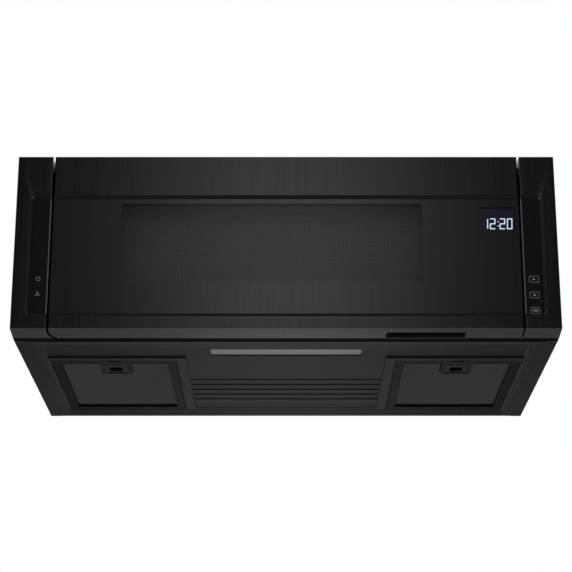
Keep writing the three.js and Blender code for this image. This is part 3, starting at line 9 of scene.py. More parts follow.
import bmesh
import bpy
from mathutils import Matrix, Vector


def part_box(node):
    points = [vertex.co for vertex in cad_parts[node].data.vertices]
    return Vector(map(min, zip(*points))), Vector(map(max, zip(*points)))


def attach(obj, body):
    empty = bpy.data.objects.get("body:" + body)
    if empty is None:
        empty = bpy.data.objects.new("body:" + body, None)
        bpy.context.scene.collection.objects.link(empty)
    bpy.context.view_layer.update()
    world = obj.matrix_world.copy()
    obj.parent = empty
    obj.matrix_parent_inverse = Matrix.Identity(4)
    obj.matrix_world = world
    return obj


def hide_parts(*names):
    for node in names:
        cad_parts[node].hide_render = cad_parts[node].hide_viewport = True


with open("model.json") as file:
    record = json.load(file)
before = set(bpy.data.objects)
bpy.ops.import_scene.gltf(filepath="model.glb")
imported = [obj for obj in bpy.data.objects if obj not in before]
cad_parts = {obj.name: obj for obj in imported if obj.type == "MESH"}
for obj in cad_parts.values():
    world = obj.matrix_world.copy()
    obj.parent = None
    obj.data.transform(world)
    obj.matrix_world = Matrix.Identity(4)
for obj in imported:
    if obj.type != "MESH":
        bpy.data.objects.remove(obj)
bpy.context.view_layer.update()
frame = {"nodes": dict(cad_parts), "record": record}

# ---- Sizes ----

# Camera, fitted to the object's edges in the photograph
CAMERA_PLACE = (0.0, -2.7309, -0.8491)
CAMERA_RISE = 19.027  # degrees above the horizon
CAMERA_LENS = 109.57  # millimetres, on a 36 mm sensor

# Studio. A lamp's places and sizes are in metres, and its brightness is that of its face.
KEY_LAMP = {"place": (0, -3.0, 0.95), "target": (0, -0.455, 0), "size": (0.6, 0.9), "brightness": 3.0}
LOW_LAMP = {"place": (0, 2.2, -1.00), "target": (0, -0.2, -0.13), "size": (0.6, 0.5), "brightness": 2.6}
FLOOR_Z = -1.35
FLOOR_RADIUS = 14.0
FLOOR_FADE = (9.0, 14.0)  # distances between which the floor fades into the background
AMBIENT = 0.8  # brightness of the world for diffuse light
FRONT_REFLECTION = 0.12  # brightness of the dim side of the studio, seen in gloss

# Edges
BEVEL = 0.0005
FINE_BEVEL = BEVEL / 2
SHARP_ANGLE = math.radians(32)
FLAT_ANGLE = 0.01  # triangles that differ less lie in one flat face
EDGE_HIGHLIGHT_REACH = 0.0009  # how far from a corner the painted edge highlight reaches

# Columns and key glasses
COLUMN_EDGE_HIGHLIGHT = 0.0013  # width of the painted highlight along a column's inner edge
COLUMN_EDGE_HIGHLIGHT_FADE = 0.0004
KEY_LIP_HIGHLIGHT = 0.0037  # painted highlight on the slope beside a key glass
KEY_LIP_HIGHLIGHT_FADE = 0.0008
GAP_SHADE_START = -0.4222  # depth at which the sides of the columns and the door turn from steel to painted black shade, for the shadow of the gap towards the case
GAP_SHADE_FADE = 0.0004
GLASS_EDGE_HIGHLIGHT = 0.0016  # width of the painted highlight on the inner edge of a key glass

# Door window
SCREEN_HOLES = 520.0  # in a metre
WINDOW_MARGIN = 0.008  # covered border of the screen
CLOCK_MARGIN = 0.002  # covered border of the clock board
WINDOW_CLEARNESS = 0.58
CLOCK_CLEARNESS = 0.6

# Touch keys
MARK_THICKNESS = 0.00006
ICON_STROKE = 0.0005
RING_STROKE = 0.00065  # of the lamp sign, a little bolder
KEY_X = 0.3437  # to either side of the middle
LEFT_KEY_LEVELS = (-0.0530, -0.0752)
RIGHT_KEY_LEVELS = (-0.0534, -0.0764, -0.0989)
KEY_SIZE = (0.0128, 0.0088)
KEY_RADIUS = 0.0016
LAMP_SIGN_RADIUS = 0.0027
START_SIGN = 0.0032
PAUSE_SHIFT = 0.0012  # of the bar to the left and of the arrow to the right
PAUSE_ARROW = 0.0028
PAUSE_BAR = (0.0009, 0.0034)
GRILL_BAR = (0.0078, 0.0006)
GRILL_PITCH = 0.0014

# Clock
DIGIT_HEIGHT = 0.0163
DIGIT_WIDTH = 0.0078
DIGIT_STROKE = 0.0015
DIGIT_SLANT = math.tan(math.radians(2))
DIGIT_PITCH = DIGIT_WIDTH * 1.27
DIGIT_GAP = DIGIT_STROKE * 0.08  # between the bars of a digit
DIGIT_TAPER = DIGIT_STROKE * 0.22  # how far a bar narrows towards its ends
DIGIT_FOOT = 0.0224
TIME_SHIFT = 0.0030  # the time's centre is right of the clock board's
TIME = (("1", -2.35), ("2", -1.32), ("2", 0.06), ("0", 1.09))  # digits, and their places in pitches
TIME_INSET = 0.0006  # the digits start left of their places
COLON_PLACE = -0.22  # in pitches
COLON_LEVELS = (0.30, 0.70)  # in digit heights
FIELD_LEVEL = 0.037
FIELD_SIZE = (0.0470, 0.0330)

# Filter mesh
STRAND_PITCH = (0.0052, 0.0030)
STRAND_WIDTH = 0.0009
STRAND_TILT = 0.0002
LAYER_DEPTHS = (0.0003, 0.0010)  # above the mesh's lower face
CORE_THICKNESS = 0.0012
LATCH_MARGIN = 0.006  # free of strands, round the latch housing

# Step round the base pan
PAN_STEP_LINES = ((0.0137, 0.0118, 0.0185), (0.0204, 0.0252, 0.0375))  # from the sides, front and rear
PAN_CREASE = (0.0012, 0.0030)  # width of the painted shade and groove at the sides, and at the front and the rear
CREASE_DEPTH = 0.0005
CREASE_FADE = 0.0008

# Turntable tray
TRAY_SIDES = 128
TRAY_GLASS = 0.0050
TRAY_RIM_SLOPE = 0.0100  # how far the rim leans out
TRAY_RIM_START = 0.0120  # height at which the rim turns upright
TRAY_INNER_SLOPE = 0.0075
TRAY_ROUNDING = 0.0022


# ---- Node trees ----


class Paint:
    """A material with a Principled shader, and short ways to add nodes to it."""

    def __init__(self, name, roughness=0.5, metallic=0.0, colour=(0.5, 0.5, 0.5)):
        self.material = bpy.data.materials.new(name)
        self.material.use_nodes = True
        self.tree = self.material.node_tree
        self.shader = self.tree.nodes["Principled BSDF"]
        self.place = self.tree.nodes.new("ShaderNodeTexCoord").outputs["Object"]
        self.set("Base Color", (*colour, 1))
        self.set("Roughness", roughness)
        self.set("Metallic", metallic)

    def set(self, socket, value):
        """Gives one of the shader's sockets a value or links a node's output to it."""
        self.feed(self.shader.inputs[socket], value)

    def feed(self, socket, value):
        """Gives a node's socket a value or links another node's output to it."""
        if isinstance(value, bpy.types.NodeSocket):
            self.tree.links.new(value, socket)
        else:
            socket.default_value = value

    def node(self, kind, inputs, output=0, **settings):
        """Adds a node, feeds its inputs and returns one of its outputs."""
        node = self.tree.nodes.new("ShaderNode" + kind)
        for name, value in settings.items():
            setattr(node, name, value)
        for socket, value in inputs.items():
            self.feed(node.inputs[socket], value)
        return node.outputs[output]

    def math(self, operation, first, second=0.0):
        return self.node("Math", {0: first, 1: second}, operation=operation)

    def scaled(self, scale):
        """Object coordinates, stretched by a factor along each axis."""
        return self.node("VectorMath", {0: self.place, 1: scale}, operation="MULTIPLY")

    def noise(self, scale, detail=3.0):
        inputs = {"Vector": self.scaled(scale), "Scale": 1.0, "Detail": detail, "Roughness": 0.55}
        return self.node("TexNoise", inputs)

    def even_noise(self, scale, detail=3.0):
        """Noise with the same grain along every axis."""
        return self.noise((scale, scale, scale), detail)

    def cells(self, scale, output=0):
        inputs = {"Vector": self.scaled((scale, scale, scale)), "Scale": 1.0}
        return self.node("TexVoronoi", inputs, output=output)

    def bands(self, axis, scale):
        """Waves that follow each other along one axis."""
        stretch = tuple(scale if name == axis else 0.0 for name in "XYZ")
        inputs = {"Vector": self.scaled(stretch), "Scale": 1.0}
        return self.node("TexWave", inputs, bands_direction=axis, output="Fac")

    def mixed(self, first, second, share):
        """The sum of a share of one value and the rest of another."""
        part = self.math("MULTIPLY", first, share)
        return self.math("ADD", part, self.math("MULTIPLY", second, 1 - share))

    def spread(self, value, low, high, start=0.0, end=1.0):
        """Maps a value from start..end to low..high."""
        inputs = {"Value": value, 1: start, 2: end, 3: low, 4: high}
        return self.node("MapRange", inputs)

    def blend(self, factor, first, second):
        """Colour between two colours."""
        node = self.tree.nodes.new("ShaderNodeMix")
        node.data_type = "RGBA"
        self.feed(node.inputs[0], factor)
        for index, colour in ((6, first), (7, second)):
            value = (*colour, 1) if isinstance(colour, tuple) else colour
            self.feed(node.inputs[index], value)
        return node.outputs[2]

    def axes(self):
        node = self.tree.nodes.new("ShaderNodeSeparateXYZ")
        self.feed(node.inputs[0], self.place)
        return node.outputs

    def inside(self, low, high, soft, axes="XZ"):
        """1 within a rectangle in two of the axes and 0 outside it."""
        places = self.axes()
        result = None
        for axis, start, end in zip(axes, low, high):
            middle = (start + end) / 2
            half = (end - start) / 2
            offset = self.math("ABSOLUTE", self.math("SUBTRACT", places[axis], middle))
            part = self.spread(offset, 1.0, 0.0, half - soft, half + soft)
            result = part if result is None else self.math("MULTIPLY", result, part)
        return result

    def bump(self, height, strength, distance, under=None):
        """Raises the surface by a height, on top of another bump if one is given."""
        inputs = {"Height": height, "Strength": strength, "Distance": distance}
        if under is not None:
            inputs["Normal"] = under
        normal = self.node("Bump", inputs)
        self.set("Normal", normal)
        return normal

    def edge_light(self):
        """Mask of a painted highlight: 1 at a corner of the surface, and 0 a short way from it."""
        rounded = self.node("Bevel", {"Radius": EDGE_HIGHLIGHT_REACH}, samples=4)
        normal = self.node("NewGeometry", {}, output="Normal")
        inputs = {0: rounded, 1: normal}
        likeness = self.node("VectorMath", inputs, output="Value", operation="DOT_PRODUCT")
        return self.spread(likeness, 1.0, 0.0, 0.86, 0.985)


# ---- Materials ----

GRAIN = (1900.0, 1900.0, 9.0)  # long in Z, so that the brushing runs up and down
STRAND_GRAIN = (420.0, 420.0, 420.0)
ALUMINIUM_GRAIN = (500.0, 500.0, 500.0)


def shaded(colour, factor):
    """A colour made darker or paler."""
    return tuple(channel * factor for channel in colour)


def brushed_paint(name, colour, roughness, grain, contrast=0.16):
    """Brushed metal with fine and broad streaks, and a painted highlight along its edges."""
    paint = Paint(name, metallic=1.0)
    fine = paint.noise(grain, detail=2.0)
    broad = paint.noise(tuple(axis / 7 for axis in grain), detail=2.0)
    streaks = paint.mixed(fine, broad, 0.6)
    base = paint.blend(
        paint.spread(streaks, 0.0, 1.0, 0.3, 0.7),
        shaded(colour, 1 - contrast),
        shaded(colour, 1 + contrast),
    )
    # Painted highlight along the edges
    base = paint.blend(paint.edge_light(), base, shaded(colour, 1.8))
    paint.set("Base Color", base)
    paint.set("Roughness", paint.spread(streaks, roughness - 0.05, roughness + 0.05, 0.3, 0.7))
    paint.bump(fine, 0.12, 0.00004)
    return paint, base


def stripe(paint, value, start, end, fade):
    """1 where a value lies between start and end, and 0 past the fades beside them."""
    begun = paint.spread(value, 0.0, 1.0, start, start + fade)
    going = paint.spread(value, 1.0, 0.0, end, end + fade)
    return paint.math("MULTIPLY", begun, going)


def black_steel():
    """Black steel with a painted highlight along the columns' inner edges and on the slopes beside the key
    glasses, and painted black shade towards the case for the gap's shadow.
    """
    colour = (0.027, 0.027, 0.0273)
    paint, base = brushed_paint("black_brushed_steel", colour, 0.28, GRAIN)
    places = paint.axes()
    aside = paint.math("ABSOLUTE", places["X"])
    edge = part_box("right_column")[0].x
    # Painted highlight along the columns' inner edges
    pale = stripe(paint, aside, edge - COLUMN_EDGE_HIGHLIGHT_FADE, edge + COLUMN_EDGE_HIGHLIGHT, COLUMN_EDGE_HIGHLIGHT_FADE)
    base = paint.blend(pale, base, shaded(colour, 2.2))
    low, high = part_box("right_key_glass")
    # Painted highlight on the slope beside each key glass
    lip_highlight = stripe(paint, aside, high.x, high.x + KEY_LIP_HIGHLIGHT, KEY_LIP_HIGHLIGHT_FADE)
    beside = paint.inside((-1.0, low.z), (1.0, high.z), 0.004)
    base = paint.blend(paint.math("MULTIPLY", lip_highlight, beside), base, shaded(colour, 2.4))
    # Painted black shade towards the case, standing for the shadow in the gap
    gap_shade = paint.spread(places["Y"], 0.0, 1.0, GAP_SHADE_START, GAP_SHADE_START + GAP_SHADE_FADE)
    paint.set("Base Color", paint.blend(gap_shade, base, (0.002, 0.002, 0.002)))
    paint.set("Metallic", paint.math("SUBTRACT", 1.0, gap_shade))
    paint.set("Specular IOR Level", 0.01)
    return paint.material


def zinc_steel():
    """Zinc-coated sheet, with its crystal spangle."""
    paint = Paint("zinc_coated_steel", metallic=1.0)
    value = paint.node("SeparateColor", {0: paint.cells(90.0, output="Color")})
    stain = paint.even_noise(14.0)
    base = paint.blend(value, (0.36, 0.37, 0.38), (0.48, 0.49, 0.50))
    paint.set("Base Color", paint.blend(paint.spread(stain, 0.0, 0.5), base, (0.33, 0.335, 0.335)))
    paint.set("Roughness", paint.spread(value, 0.36, 0.5))
    paint.bump(paint.even_noise(700.0), 0.08, 0.0001)
    return paint.material


def crease(paint, line, base, colour, raised):
    """Paints shade into the border of a rectangle seen from below and sinks it, and returns the colour and
    the bump.
    """
    low, high = line
    inner_low = [value + width for value, width in zip(low, PAN_CREASE)]
    inner_high = [value - width for value, width in zip(high, PAN_CREASE)]
    whole = paint.inside(low, high, CREASE_FADE, axes="XY")
    middle = paint.inside(inner_low, inner_high, CREASE_FADE, axes="XY")
    groove_and_shade = paint.math("SUBTRACT", whole, middle)
    # Painted shade in the crease
    base = paint.blend(groove_and_shade, base, shaded(colour, 0.35))
    raised = paint.bump(paint.math("SUBTRACT", 1.0, groove_and_shade), 0.8, CREASE_DEPTH, under=raised)
    return base, raised


def satin_paint(name, colour, roughness, specular, peel=900.0, creases=(), paler=()):
    """Baked satin paint with a fine orange peel, a little unevenness, a painted highlight along its edges
    and painted shade in its creases.
    """
    paint = Paint(name, roughness=roughness)
    cloud = paint.even_noise(9.0, detail=4.0)
    speck = paint.even_noise(peel, detail=2.0)
    tone = paint.spread(paint.mixed(cloud, speck, 0.5), 0.0, 1.0, 0.35, 0.65)
    base = paint.blend(tone, shaded(colour, 0.85), shaded(colour, 1.15))
    # Painted highlight along the edges
    base = paint.blend(paint.edge_light(), base, shaded(colour, 1.7))
    for low, high in paler:
        base = paint.blend(paint.inside(low, high, 0.0004, axes="XY"), base, shaded(colour, 3.6))
    raised = paint.bump(speck, 0.10, 0.00008)
    for line in creases:
        base, raised = crease(paint, line, base, colour, raised)
    paint.set("Base Color", base)
    paint.set("Roughness", paint.spread(speck, roughness - 0.06, roughness + 0.06, 0.3, 0.7))
    paint.set("Specular IOR Level", specular)
    return paint.material


def black_paint(name="satin_black_paint", creases=()):
    """The black satin paint of the case and, with painted shade in its creases, of the base pan."""
    return satin_paint(name, (0.018, 0.018, 0.0182), 0.5, 0.025, creases=creases)


def pan_creases():
    """The foot and the head of the pressed step round the base pan."""
    low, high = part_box("base_pan")
    return [
        ((low.x + side, low.y + fore), (high.x - side, high.y - rear))
        for side, fore, rear in PAN_STEP_LINES
    ]


def cavity_paint():
    return satin_paint("grey_cavity_enamel", (0.20, 0.205, 0.21), 0.34, 0.5, peel=500.0)


def dark_glass(name, colour, roughness, specular, clear_zones=()):
    """Dark glass. Its back is printed black except in the clear zones, which show what is behind."""
    paint = Paint(name, colour=colour)
    fine = paint.noise(GRAIN, detail=2.0)
    paint.set("Base Color", paint.blend(fine, shaded(colour, 0.7), shaded(colour, 1.3)))
    paint.set("Roughness", paint.spread(fine, roughness - 0.03, roughness + 0.03, 0.3, 0.7))
    paint.set("Specular IOR Level", specular)
    paint.bump(fine, 0.05, 0.00003)
    see_through = None
    for low, high, clearness in clear_zones:
        zone = paint.math("MULTIPLY", paint.inside(low, high, 0.0003), clearness)
        see_through = zone if see_through is None else paint.math("ADD", see_through, zone)
    if see_through is not None:
        paint.set("Alpha", paint.math("SUBTRACT", 1.0, see_through))
    return paint.material


def clear_glass():
    paint = Paint("pressed_clear_glass", roughness=0.04, colour=(0.93, 0.97, 0.95))
    paint.set("Transmission Weight", 1.0)
    paint.set("IOR", 1.5)
    paint.bump(paint.even_noise(60.0), 0.05, 0.0004)
    return paint.material


def moulded_plastic(name, colour, roughness, texture=1400.0, specular=0.5):
    """Moulded plastic with a spark-eroded texture and a painted highlight along its edges."""
    paint = Paint(name)
    paint.set("Specular IOR Level", specular)
    pits = paint.even_noise(texture, detail=2.0)
    cloud = paint.even_noise(12.0)
    base = paint.blend(cloud, shaded(colour, 0.88), shaded(colour, 1.12))
    # Painted highlight along the edges
    paint.set("Base Color", paint.blend(paint.edge_light(), base, shaded(colour, 1.5)))
    paint.set("Roughness", paint.spread(pits, roughness - 0.07, roughness + 0.07, 0.3, 0.7))
    paint.bump(pits, 0.15, 0.0001)
    return paint.material


def black_plastic():
    return moulded_plastic("black_plastic", (0.014, 0.014, 0.0142), 0.5, specular=0.03)


def white_plastic():
    return moulded_plastic("white_plastic", (0.62, 0.62, 0.59), 0.45)


def grey_plastic():
    return moulded_plastic("grey_plastic", (0.16, 0.165, 0.17), 0.45)


def circuit_board():
    """Green lacquer over copper tracks, with tinned pads."""
    paint = Paint("circuit_board", roughness=0.35)
    brick_inputs = {"Vector": paint.scaled((160.0, 160.0, 160.0)), "Scale": 1.0, "Mortar Size": 0.06}
    tracks = paint.node("TexBrick", brick_inputs, output="Fac")
    pads = paint.spread(paint.cells(230.0), 1.0, 0.0, 0.12, 0.18)
    board = paint.blend(tracks, (0.012, 0.09, 0.035), (0.03, 0.17, 0.06))
    paint.set("Base Color", paint.blend(pads, board, (0.6, 0.58, 0.52)))
    paint.set("Metallic", pads)
    paint.bump(tracks, 0.3, 0.0001)
    return paint.material


def filter_metal():
    """Dark coated aluminium, a little paler on the housings of the latches."""
    housings = []
    for side in ("left", "right"):
        low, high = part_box(side + "_filter_latch")
        front_left = (low.x - LATCH_MARGIN, low.y + LATCH_MARGIN)
        rear_right = (high.x + LATCH_MARGIN, high.y + LATCH_MARGIN)
        housings.append((front_left, rear_right))
    return satin_paint("dark_coated_aluminium", (0.005, 0.005, 0.0051), 0.45, 0.010, paler=housings)


def lamp_diffuser():
    """Frosted cover with fine prisms along it."""
    paint = Paint("frosted_lamp_cover", roughness=0.42)
    frost = paint.even_noise(2200.0)
    paint.set("Base Color", paint.blend(frost, (0.085, 0.085, 0.086), (0.115, 0.115, 0.116)))
    paint.bump(paint.mixed(paint.bands("Y", 220.0), frost, 0.7), 0.25, 0.0003)
    return paint.material


def mica():
    """Pressed flakes of mica."""
    paint = Paint("pressed_mica", roughness=0.55)
    flakes = paint.cells(320.0)
    paint.set("Base Color", paint.blend(flakes, (0.42, 0.36, 0.27), (0.28, 0.23, 0.16)))
    paint.bump(flakes, 0.2, 0.0001)
    return paint.material


def iron():
    """Varnished laminations, seen as thin stacked lines."""
    paint = Paint("varnished_laminations", metallic=0.7)
    layers = paint.bands("Z", 900.0)
    varnish = paint.even_noise(40.0)
    base = paint.blend(layers, (0.045, 0.04, 0.036), (0.085, 0.078, 0.07))
    paint.set("Base Color", paint.blend(paint.spread(varnish, 0.0, 0.6), base, (0.09, 0.05, 0.025)))
    paint.set("Roughness", paint.spread(varnish, 0.35, 0.6))
    paint.bump(layers, 0.3, 0.0001)
    return paint.material


def aluminium():
    paint, _ = brushed_paint("bare_aluminium", (0.62, 0.625, 0.63), 0.34, ALUMINIUM_GRAIN, contrast=0.08)
    return paint.material


def strand_metal():
    """The dull metal of the filters' strands."""
    paint, _ = brushed_paint("filter_strands", (0.08, 0.08, 0.081), 0.5, STRAND_GRAIN)
    return paint.material


def black_rubber():
    return moulded_plastic("black_rubber", (0.014, 0.014, 0.014), 0.75, texture=600.0)


def glowing(name, colour, strength):
    """A printed or lit mark with faint unevenness."""
    paint = Paint(name, roughness=0.5, colour=shaded(colour, 0.5))
    grain = paint.even_noise(1500.0)
    paint.set("Emission Color", paint.blend(grain, shaded(colour, 0.9), colour))
    paint.set("Emission Strength", strength)
    return paint.material


def printed(name, colour):
    """A thin layer of print, or of a painted highlight."""
    paint = Paint(name, roughness=0.6)
    grain = paint.even_noise(2500.0)
    paint.set("Base Color", paint.blend(grain, shaded(colour, 0.85), shaded(colour, 1.15)))
    return paint.material


def screen_metal():
    """Painted screen with its field of small round holes."""
    paint = Paint("perforated_black_screen", roughness=0.5)
    places = paint.axes()
    squares = []
    for axis in "XZ":
        count = paint.math("MULTIPLY", places[axis], SCREEN_HOLES)
        offset = paint.math("SUBTRACT", paint.math("FRACT", count), 0.5)
        squares.append(paint.math("MULTIPLY", offset, offset))
    hole = paint.spread(paint.math("ADD", *squares), 1.0, 0.0, 0.08, 0.13)
    metal = paint.blend(paint.even_noise(30.0), (0.25, 0.25, 0.252), (0.30, 0.30, 0.302))
    paint.set("Base Color", paint.blend(hole, metal, (0.03, 0.03, 0.03)))
    paint.bump(paint.math("SUBTRACT", 1.0, hole), 0.4, 0.0003)
    return paint.material


# ---- Mesh helpers ----


def add_object(name, mesh, body, material, replaces=()):
    """Adds a finished mesh to the scene as a piece of a body."""
    piece = bpy.data.objects.new(name, mesh)
    bpy.context.scene.collection.objects.link(piece)
    mesh.materials.clear()
    mesh.materials.append(material)
    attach(piece, body)
    if replaces:
        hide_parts(*replaces)


def mark_sharp(mesh):
    """Smooth faces, with every strong edge kept sharp."""
    bm = bmesh.new()
    bm.from_mesh(mesh)
    for face in bm.faces:
        face.smooth = True
    for edge in bm.edges:
        edge.smooth = len(edge.link_faces) == 2 and edge.calc_face_angle(0.0) < SHARP_ANGLE
    bm.to_mesh(mesh)
    bm.free()


def flat_pieces_joined(source):
    """A copy of a triangulated solid with its flat triangles joined into convex faces."""
    bm = bmesh.new()
    bm.from_mesh(source)
    bmesh.ops.remove_doubles(bm, verts=bm.verts, dist=1e-6)
    bmesh.ops.dissolve_limit(bm, angle_limit=FLAT_ANGLE, verts=bm.verts, edges=bm.edges)
    bmesh.ops.connect_verts_concave(bm, faces=bm.faces)
    mesh = bpy.data.meshes.new(source.name + "_joined")
    bm.to_mesh(mesh)
    bm.free()
    stale = mesh.attributes.get("custom_normal")
    if stale:
        mesh.attributes.remove(stale)
    mesh.shade_smooth()
    return mesh


def applied(mesh, kind, **settings):
    """A copy of a mesh with one modifier applied. The mesh itself is used up."""
    carrier = bpy.data.objects.new("carrier", mesh)
    bpy.context.scene.collection.objects.link(carrier)
    modifier = carrier.modifiers.new(kind, kind)
    for name, value in settings.items():
        setattr(modifier, name, value)
    graph = bpy.context.evaluated_depsgraph_get()
    result = bpy.data.meshes.new_from_object(carrier.evaluated_get(graph))
    bpy.data.objects.remove(carrier)
    bpy.data.meshes.remove(mesh)
    return result


def hold_inside(mesh, solid):
    """Draws a corner that rounding pushed out back into the solid's own box."""
    lows = [min(vertex.co[axis] for vertex in solid.vertices) for axis in range(3)]
    highs = [max(vertex.co[axis] for vertex in solid.vertices) for axis in range(3)]
    for vertex in mesh.vertices:
        vertex.co = [min(max(value, low), high) for value, low, high in zip(vertex.co, lows, highs)]


def rounded_edges(source, width):
    """A copy of a solid with its hard edges rounded off and its flat faces flat."""
    rounded = applied(
        flat_pieces_joined(source),
        "BEVEL",
        width=width,
        segments=2,
        limit_method="ANGLE",
        angle_limit=SHARP_ANGLE,
        use_clamp_overlap=False,
        miter_outer="MITER_ARC",
    )
    hold_inside(rounded, source)
    return applied(rounded, "WEIGHTED_NORMAL", weight=100)


def refine(node, material, width):
    """Shows a CAD node with its edges rounded."""
    name = node + "_fine"
    mesh = rounded_edges(frame["nodes"][node].data, width)
    mesh.name = name
    add_object(name, mesh, BODY_OF[node], material, replaces=(node,))


def plate_mesh(name, outlines, front, thickness):
    """Flat marks: each outline in (x, z) becomes a thin plate whose face is at y = front."""
    bm = bmesh.new()
    for outline in outlines:
        face = bm.faces.new([bm.verts.new((x, front, z)) for x, z in outline])
        face.normal_update()
        if face.normal.y > 0:
            face.normal_flip()
        extruded = bmesh.ops.extrude_face_region(bm, geom=[face])
        moved = [item for item in extruded["geom"] if isinstance(item, bmesh.types.BMVert)]
        bmesh.ops.translate(bm, verts=moved, vec=(0, thickness, 0))
    bmesh.ops.recalc_face_normals(bm, faces=bm.faces)
    mesh = bpy.data.meshes.new(name)
    bm.to_mesh(mesh)
    bm.free()
    return mesh


def offset_point(points, index, centre, amount):
    """A corner of a closed line, moved away from its centre by an amount."""
    before = Vector(points[index - 1])
    here = Vector(points[index])
    after = Vector(points[(index + 1) % len(points)])
    along = (after - before).normalized()
    side = Vector((along.y, -along.x))
    if side.dot(here - centre) < 0:
        side = -side
    return tuple(here + side * amount)


def stroke(points, width):
    """Outline quads along a closed line of points in (x, z)."""
    centre = sum((Vector(point) for point in points), Vector((0, 0))) / len(points)
    half = width / 2
    quads = []
    for index in range(len(points)):
        following = (index + 1) % len(points)
        ends = ((index, half), (following, half), (following, -half), (index, -half))
        quads.append([offset_point(points, corner, centre, amount) for corner, amount in ends])
    return quads


def circle(centre, radius, count=24):
    angles = (2 * math.pi * index / count for index in range(count))
    return [(centre[0] + radius * math.cos(a), centre[1] + radius * math.sin(a)) for a in angles]


def rounded_rectangle(centre, size, radius, segments=4):
    points = []
    corners = ((1, 1, 0), (-1, 1, 90), (-1, -1, 180), (1, -1, 270))
    for side, level, start in corners:
        x = centre[0] + side * (size[0] / 2 - radius)
        z = centre[1] + level * (size[1] / 2 - radius)
        for step in range(segments + 1):
            angle = math.radians(start + 90 * step / segments)
            points.append((x + radius * math.cos(angle), z + radius * math.sin(angle)))
    return points


def lathe_mesh(name, profile, centre, sides):
    """A turned shape about an upright axis, from points (radius, z) that start and end on the axis."""
    bm = bmesh.new()
    rings = []
    for radius, z in profile:
        ring = circle(centre, radius, sides) if radius > 0 else [centre]
        rings.append([bm.verts.new((x, y, z)) for x, y in ring])
    for lower, upper in zip(rings, rings[1:]):
        for step in range(sides):
            following = (step + 1) % sides
            corners = [lower[step % len(lower)], lower[following % len(lower)]]
            corners += [upper[following % len(upper)], upper[step % len(upper)]]
            bm.faces.new(list(dict.fromkeys(corners)))
    bmesh.ops.recalc_face_normals(bm, faces=bm.faces)
    mesh = bpy.data.meshes.new(name)
    bm.to_mesh(mesh)
    bm.free()
    mark_sharp(mesh)
    return mesh


def rounded_profile(points, radius, segments=4):
    """An open profile with every corner between its ends rounded, by under half of either side."""
    result = [points[0]]
    for before, here, after in zip(points, points[1:], points[2:]):
        here = Vector(here)
        first = Vector(before) - here
        second = Vector(after) - here
        reach = min(radius, first.length * 0.45, second.length * 0.45)
        start = here + first.normalized() * reach
        end = here + second.normalized() * reach
        for step in range(segments + 1):
            t = step / segments
            point = start * (1 - t) ** 2 + here * 2 * t * (1 - t) + end * t**2
            result.append(tuple(point))
    result.append(points[-1])
    return result


# ---- Marks on the glass ----

# Outline of a fan sign's blade: how far each point lies outwards from the hub, and sideways
BLADE = ((0.0004, 0.0), (0.0014, 0.0012), (0.0032, 0.0014), (0.0036, -0.0002), (0.0018, -0.0006))


def fan_blades(centre):
    """Three blades of a fan sign."""
    blades = []
    for index in range(3):
        turn = math.radians(90 + 120 * index)
        across = Vector((math.cos(turn), math.sin(turn)))
        up = Vector((-math.sin(turn), math.cos(turn)))
        blades.append([tuple(Vector(centre) + u * across + v * up) for u, v in BLADE])
    return blades


def bar(centre, size):
    """A rectangle with level and upright sides."""
    x, z = centre
    half_width = size[0] / 2
    half_height = size[1] / 2
    return [
        (x - half_width, z - half_height),
        (x + half_width, z - half_height),
        (x + half_width, z + half_height),
        (x - half_width, z + half_height),
    ]


def triangle(centre, size):
    """An arrowhead that points to the right."""
    x, z = centre
    return [(x - size / 2, z - size * 0.6), (x + size * 0.6, z), (x - size / 2, z + size * 0.6)]


def left_key_marks():
    """A lamp ring above the blades of a fan."""
    lamp, fan = LEFT_KEY_LEVELS
    ring = stroke(circle((-KEY_X, lamp), LAMP_SIGN_RADIUS), RING_STROKE)
    return ring + fan_blades((-KEY_X, fan))


def right_key_marks():
    """Three framed signs: an arrow, a bar with an arrow, and a stack of bars."""
    outlines = []
    for level in RIGHT_KEY_LEVELS:
        outlines += stroke(rounded_rectangle((KEY_X, level), KEY_SIZE, KEY_RADIUS), ICON_STROKE)
    start, pause, grill = RIGHT_KEY_LEVELS
    outlines.append(triangle((KEY_X, start), START_SIGN))
    outlines.append(bar((KEY_X - PAUSE_SHIFT, pause), PAUSE_BAR))
    outlines.append(triangle((KEY_X + PAUSE_SHIFT, pause), PAUSE_ARROW))
    for step in (-1, 0, 1):
        outlines.append(bar((KEY_X, grill + step * GRILL_PITCH), GRILL_BAR))
    return outlines


def add_key_marks():
    """The signs of the touch keys on both columns' glass."""
    material = printed("pale_key_print", (0.22, 0.22, 0.223))
    for name, outlines in (("left", left_key_marks()), ("right", right_key_marks())):
        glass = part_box(name + "_key_glass")[0].y
        mesh = plate_mesh(name + "_key_marks", outlines, glass - MARK_THICKNESS, MARK_THICKNESS)
        add_object(name + "_key_marks", mesh, "chassis", material)


def add_glass_edge_highlights():
    """A painted highlight on the inner edge of each key glass, beside the door."""
    # Painted highlight, laid on as a thin pale plate
    material = printed("glass_edge_highlight", (0.075, 0.077, 0.078))
    for name, side in (("left", -1), ("right", 1)):
        low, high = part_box(name + "_key_glass")
        inner = high.x if side < 0 else low.x
        outline = bar((inner + side * GLASS_EDGE_HIGHLIGHT / 2, (low.z + high.z) / 2), (GLASS_EDGE_HIGHLIGHT, high.z - low.z))
        mesh = plate_mesh(name + "_glass_edge", [outline], low.y - MARK_THICKNESS, MARK_THICKNESS)
        add_object(name + "_glass_edge", mesh, "chassis", material)


# Segments of a digit: top, upper right, lower right, bottom, lower left, upper left, middle
SEGMENTS = {"0": (0, 1, 2, 3, 4, 5), "1": (1, 2), "2": (0, 1, 6, 4, 3)}


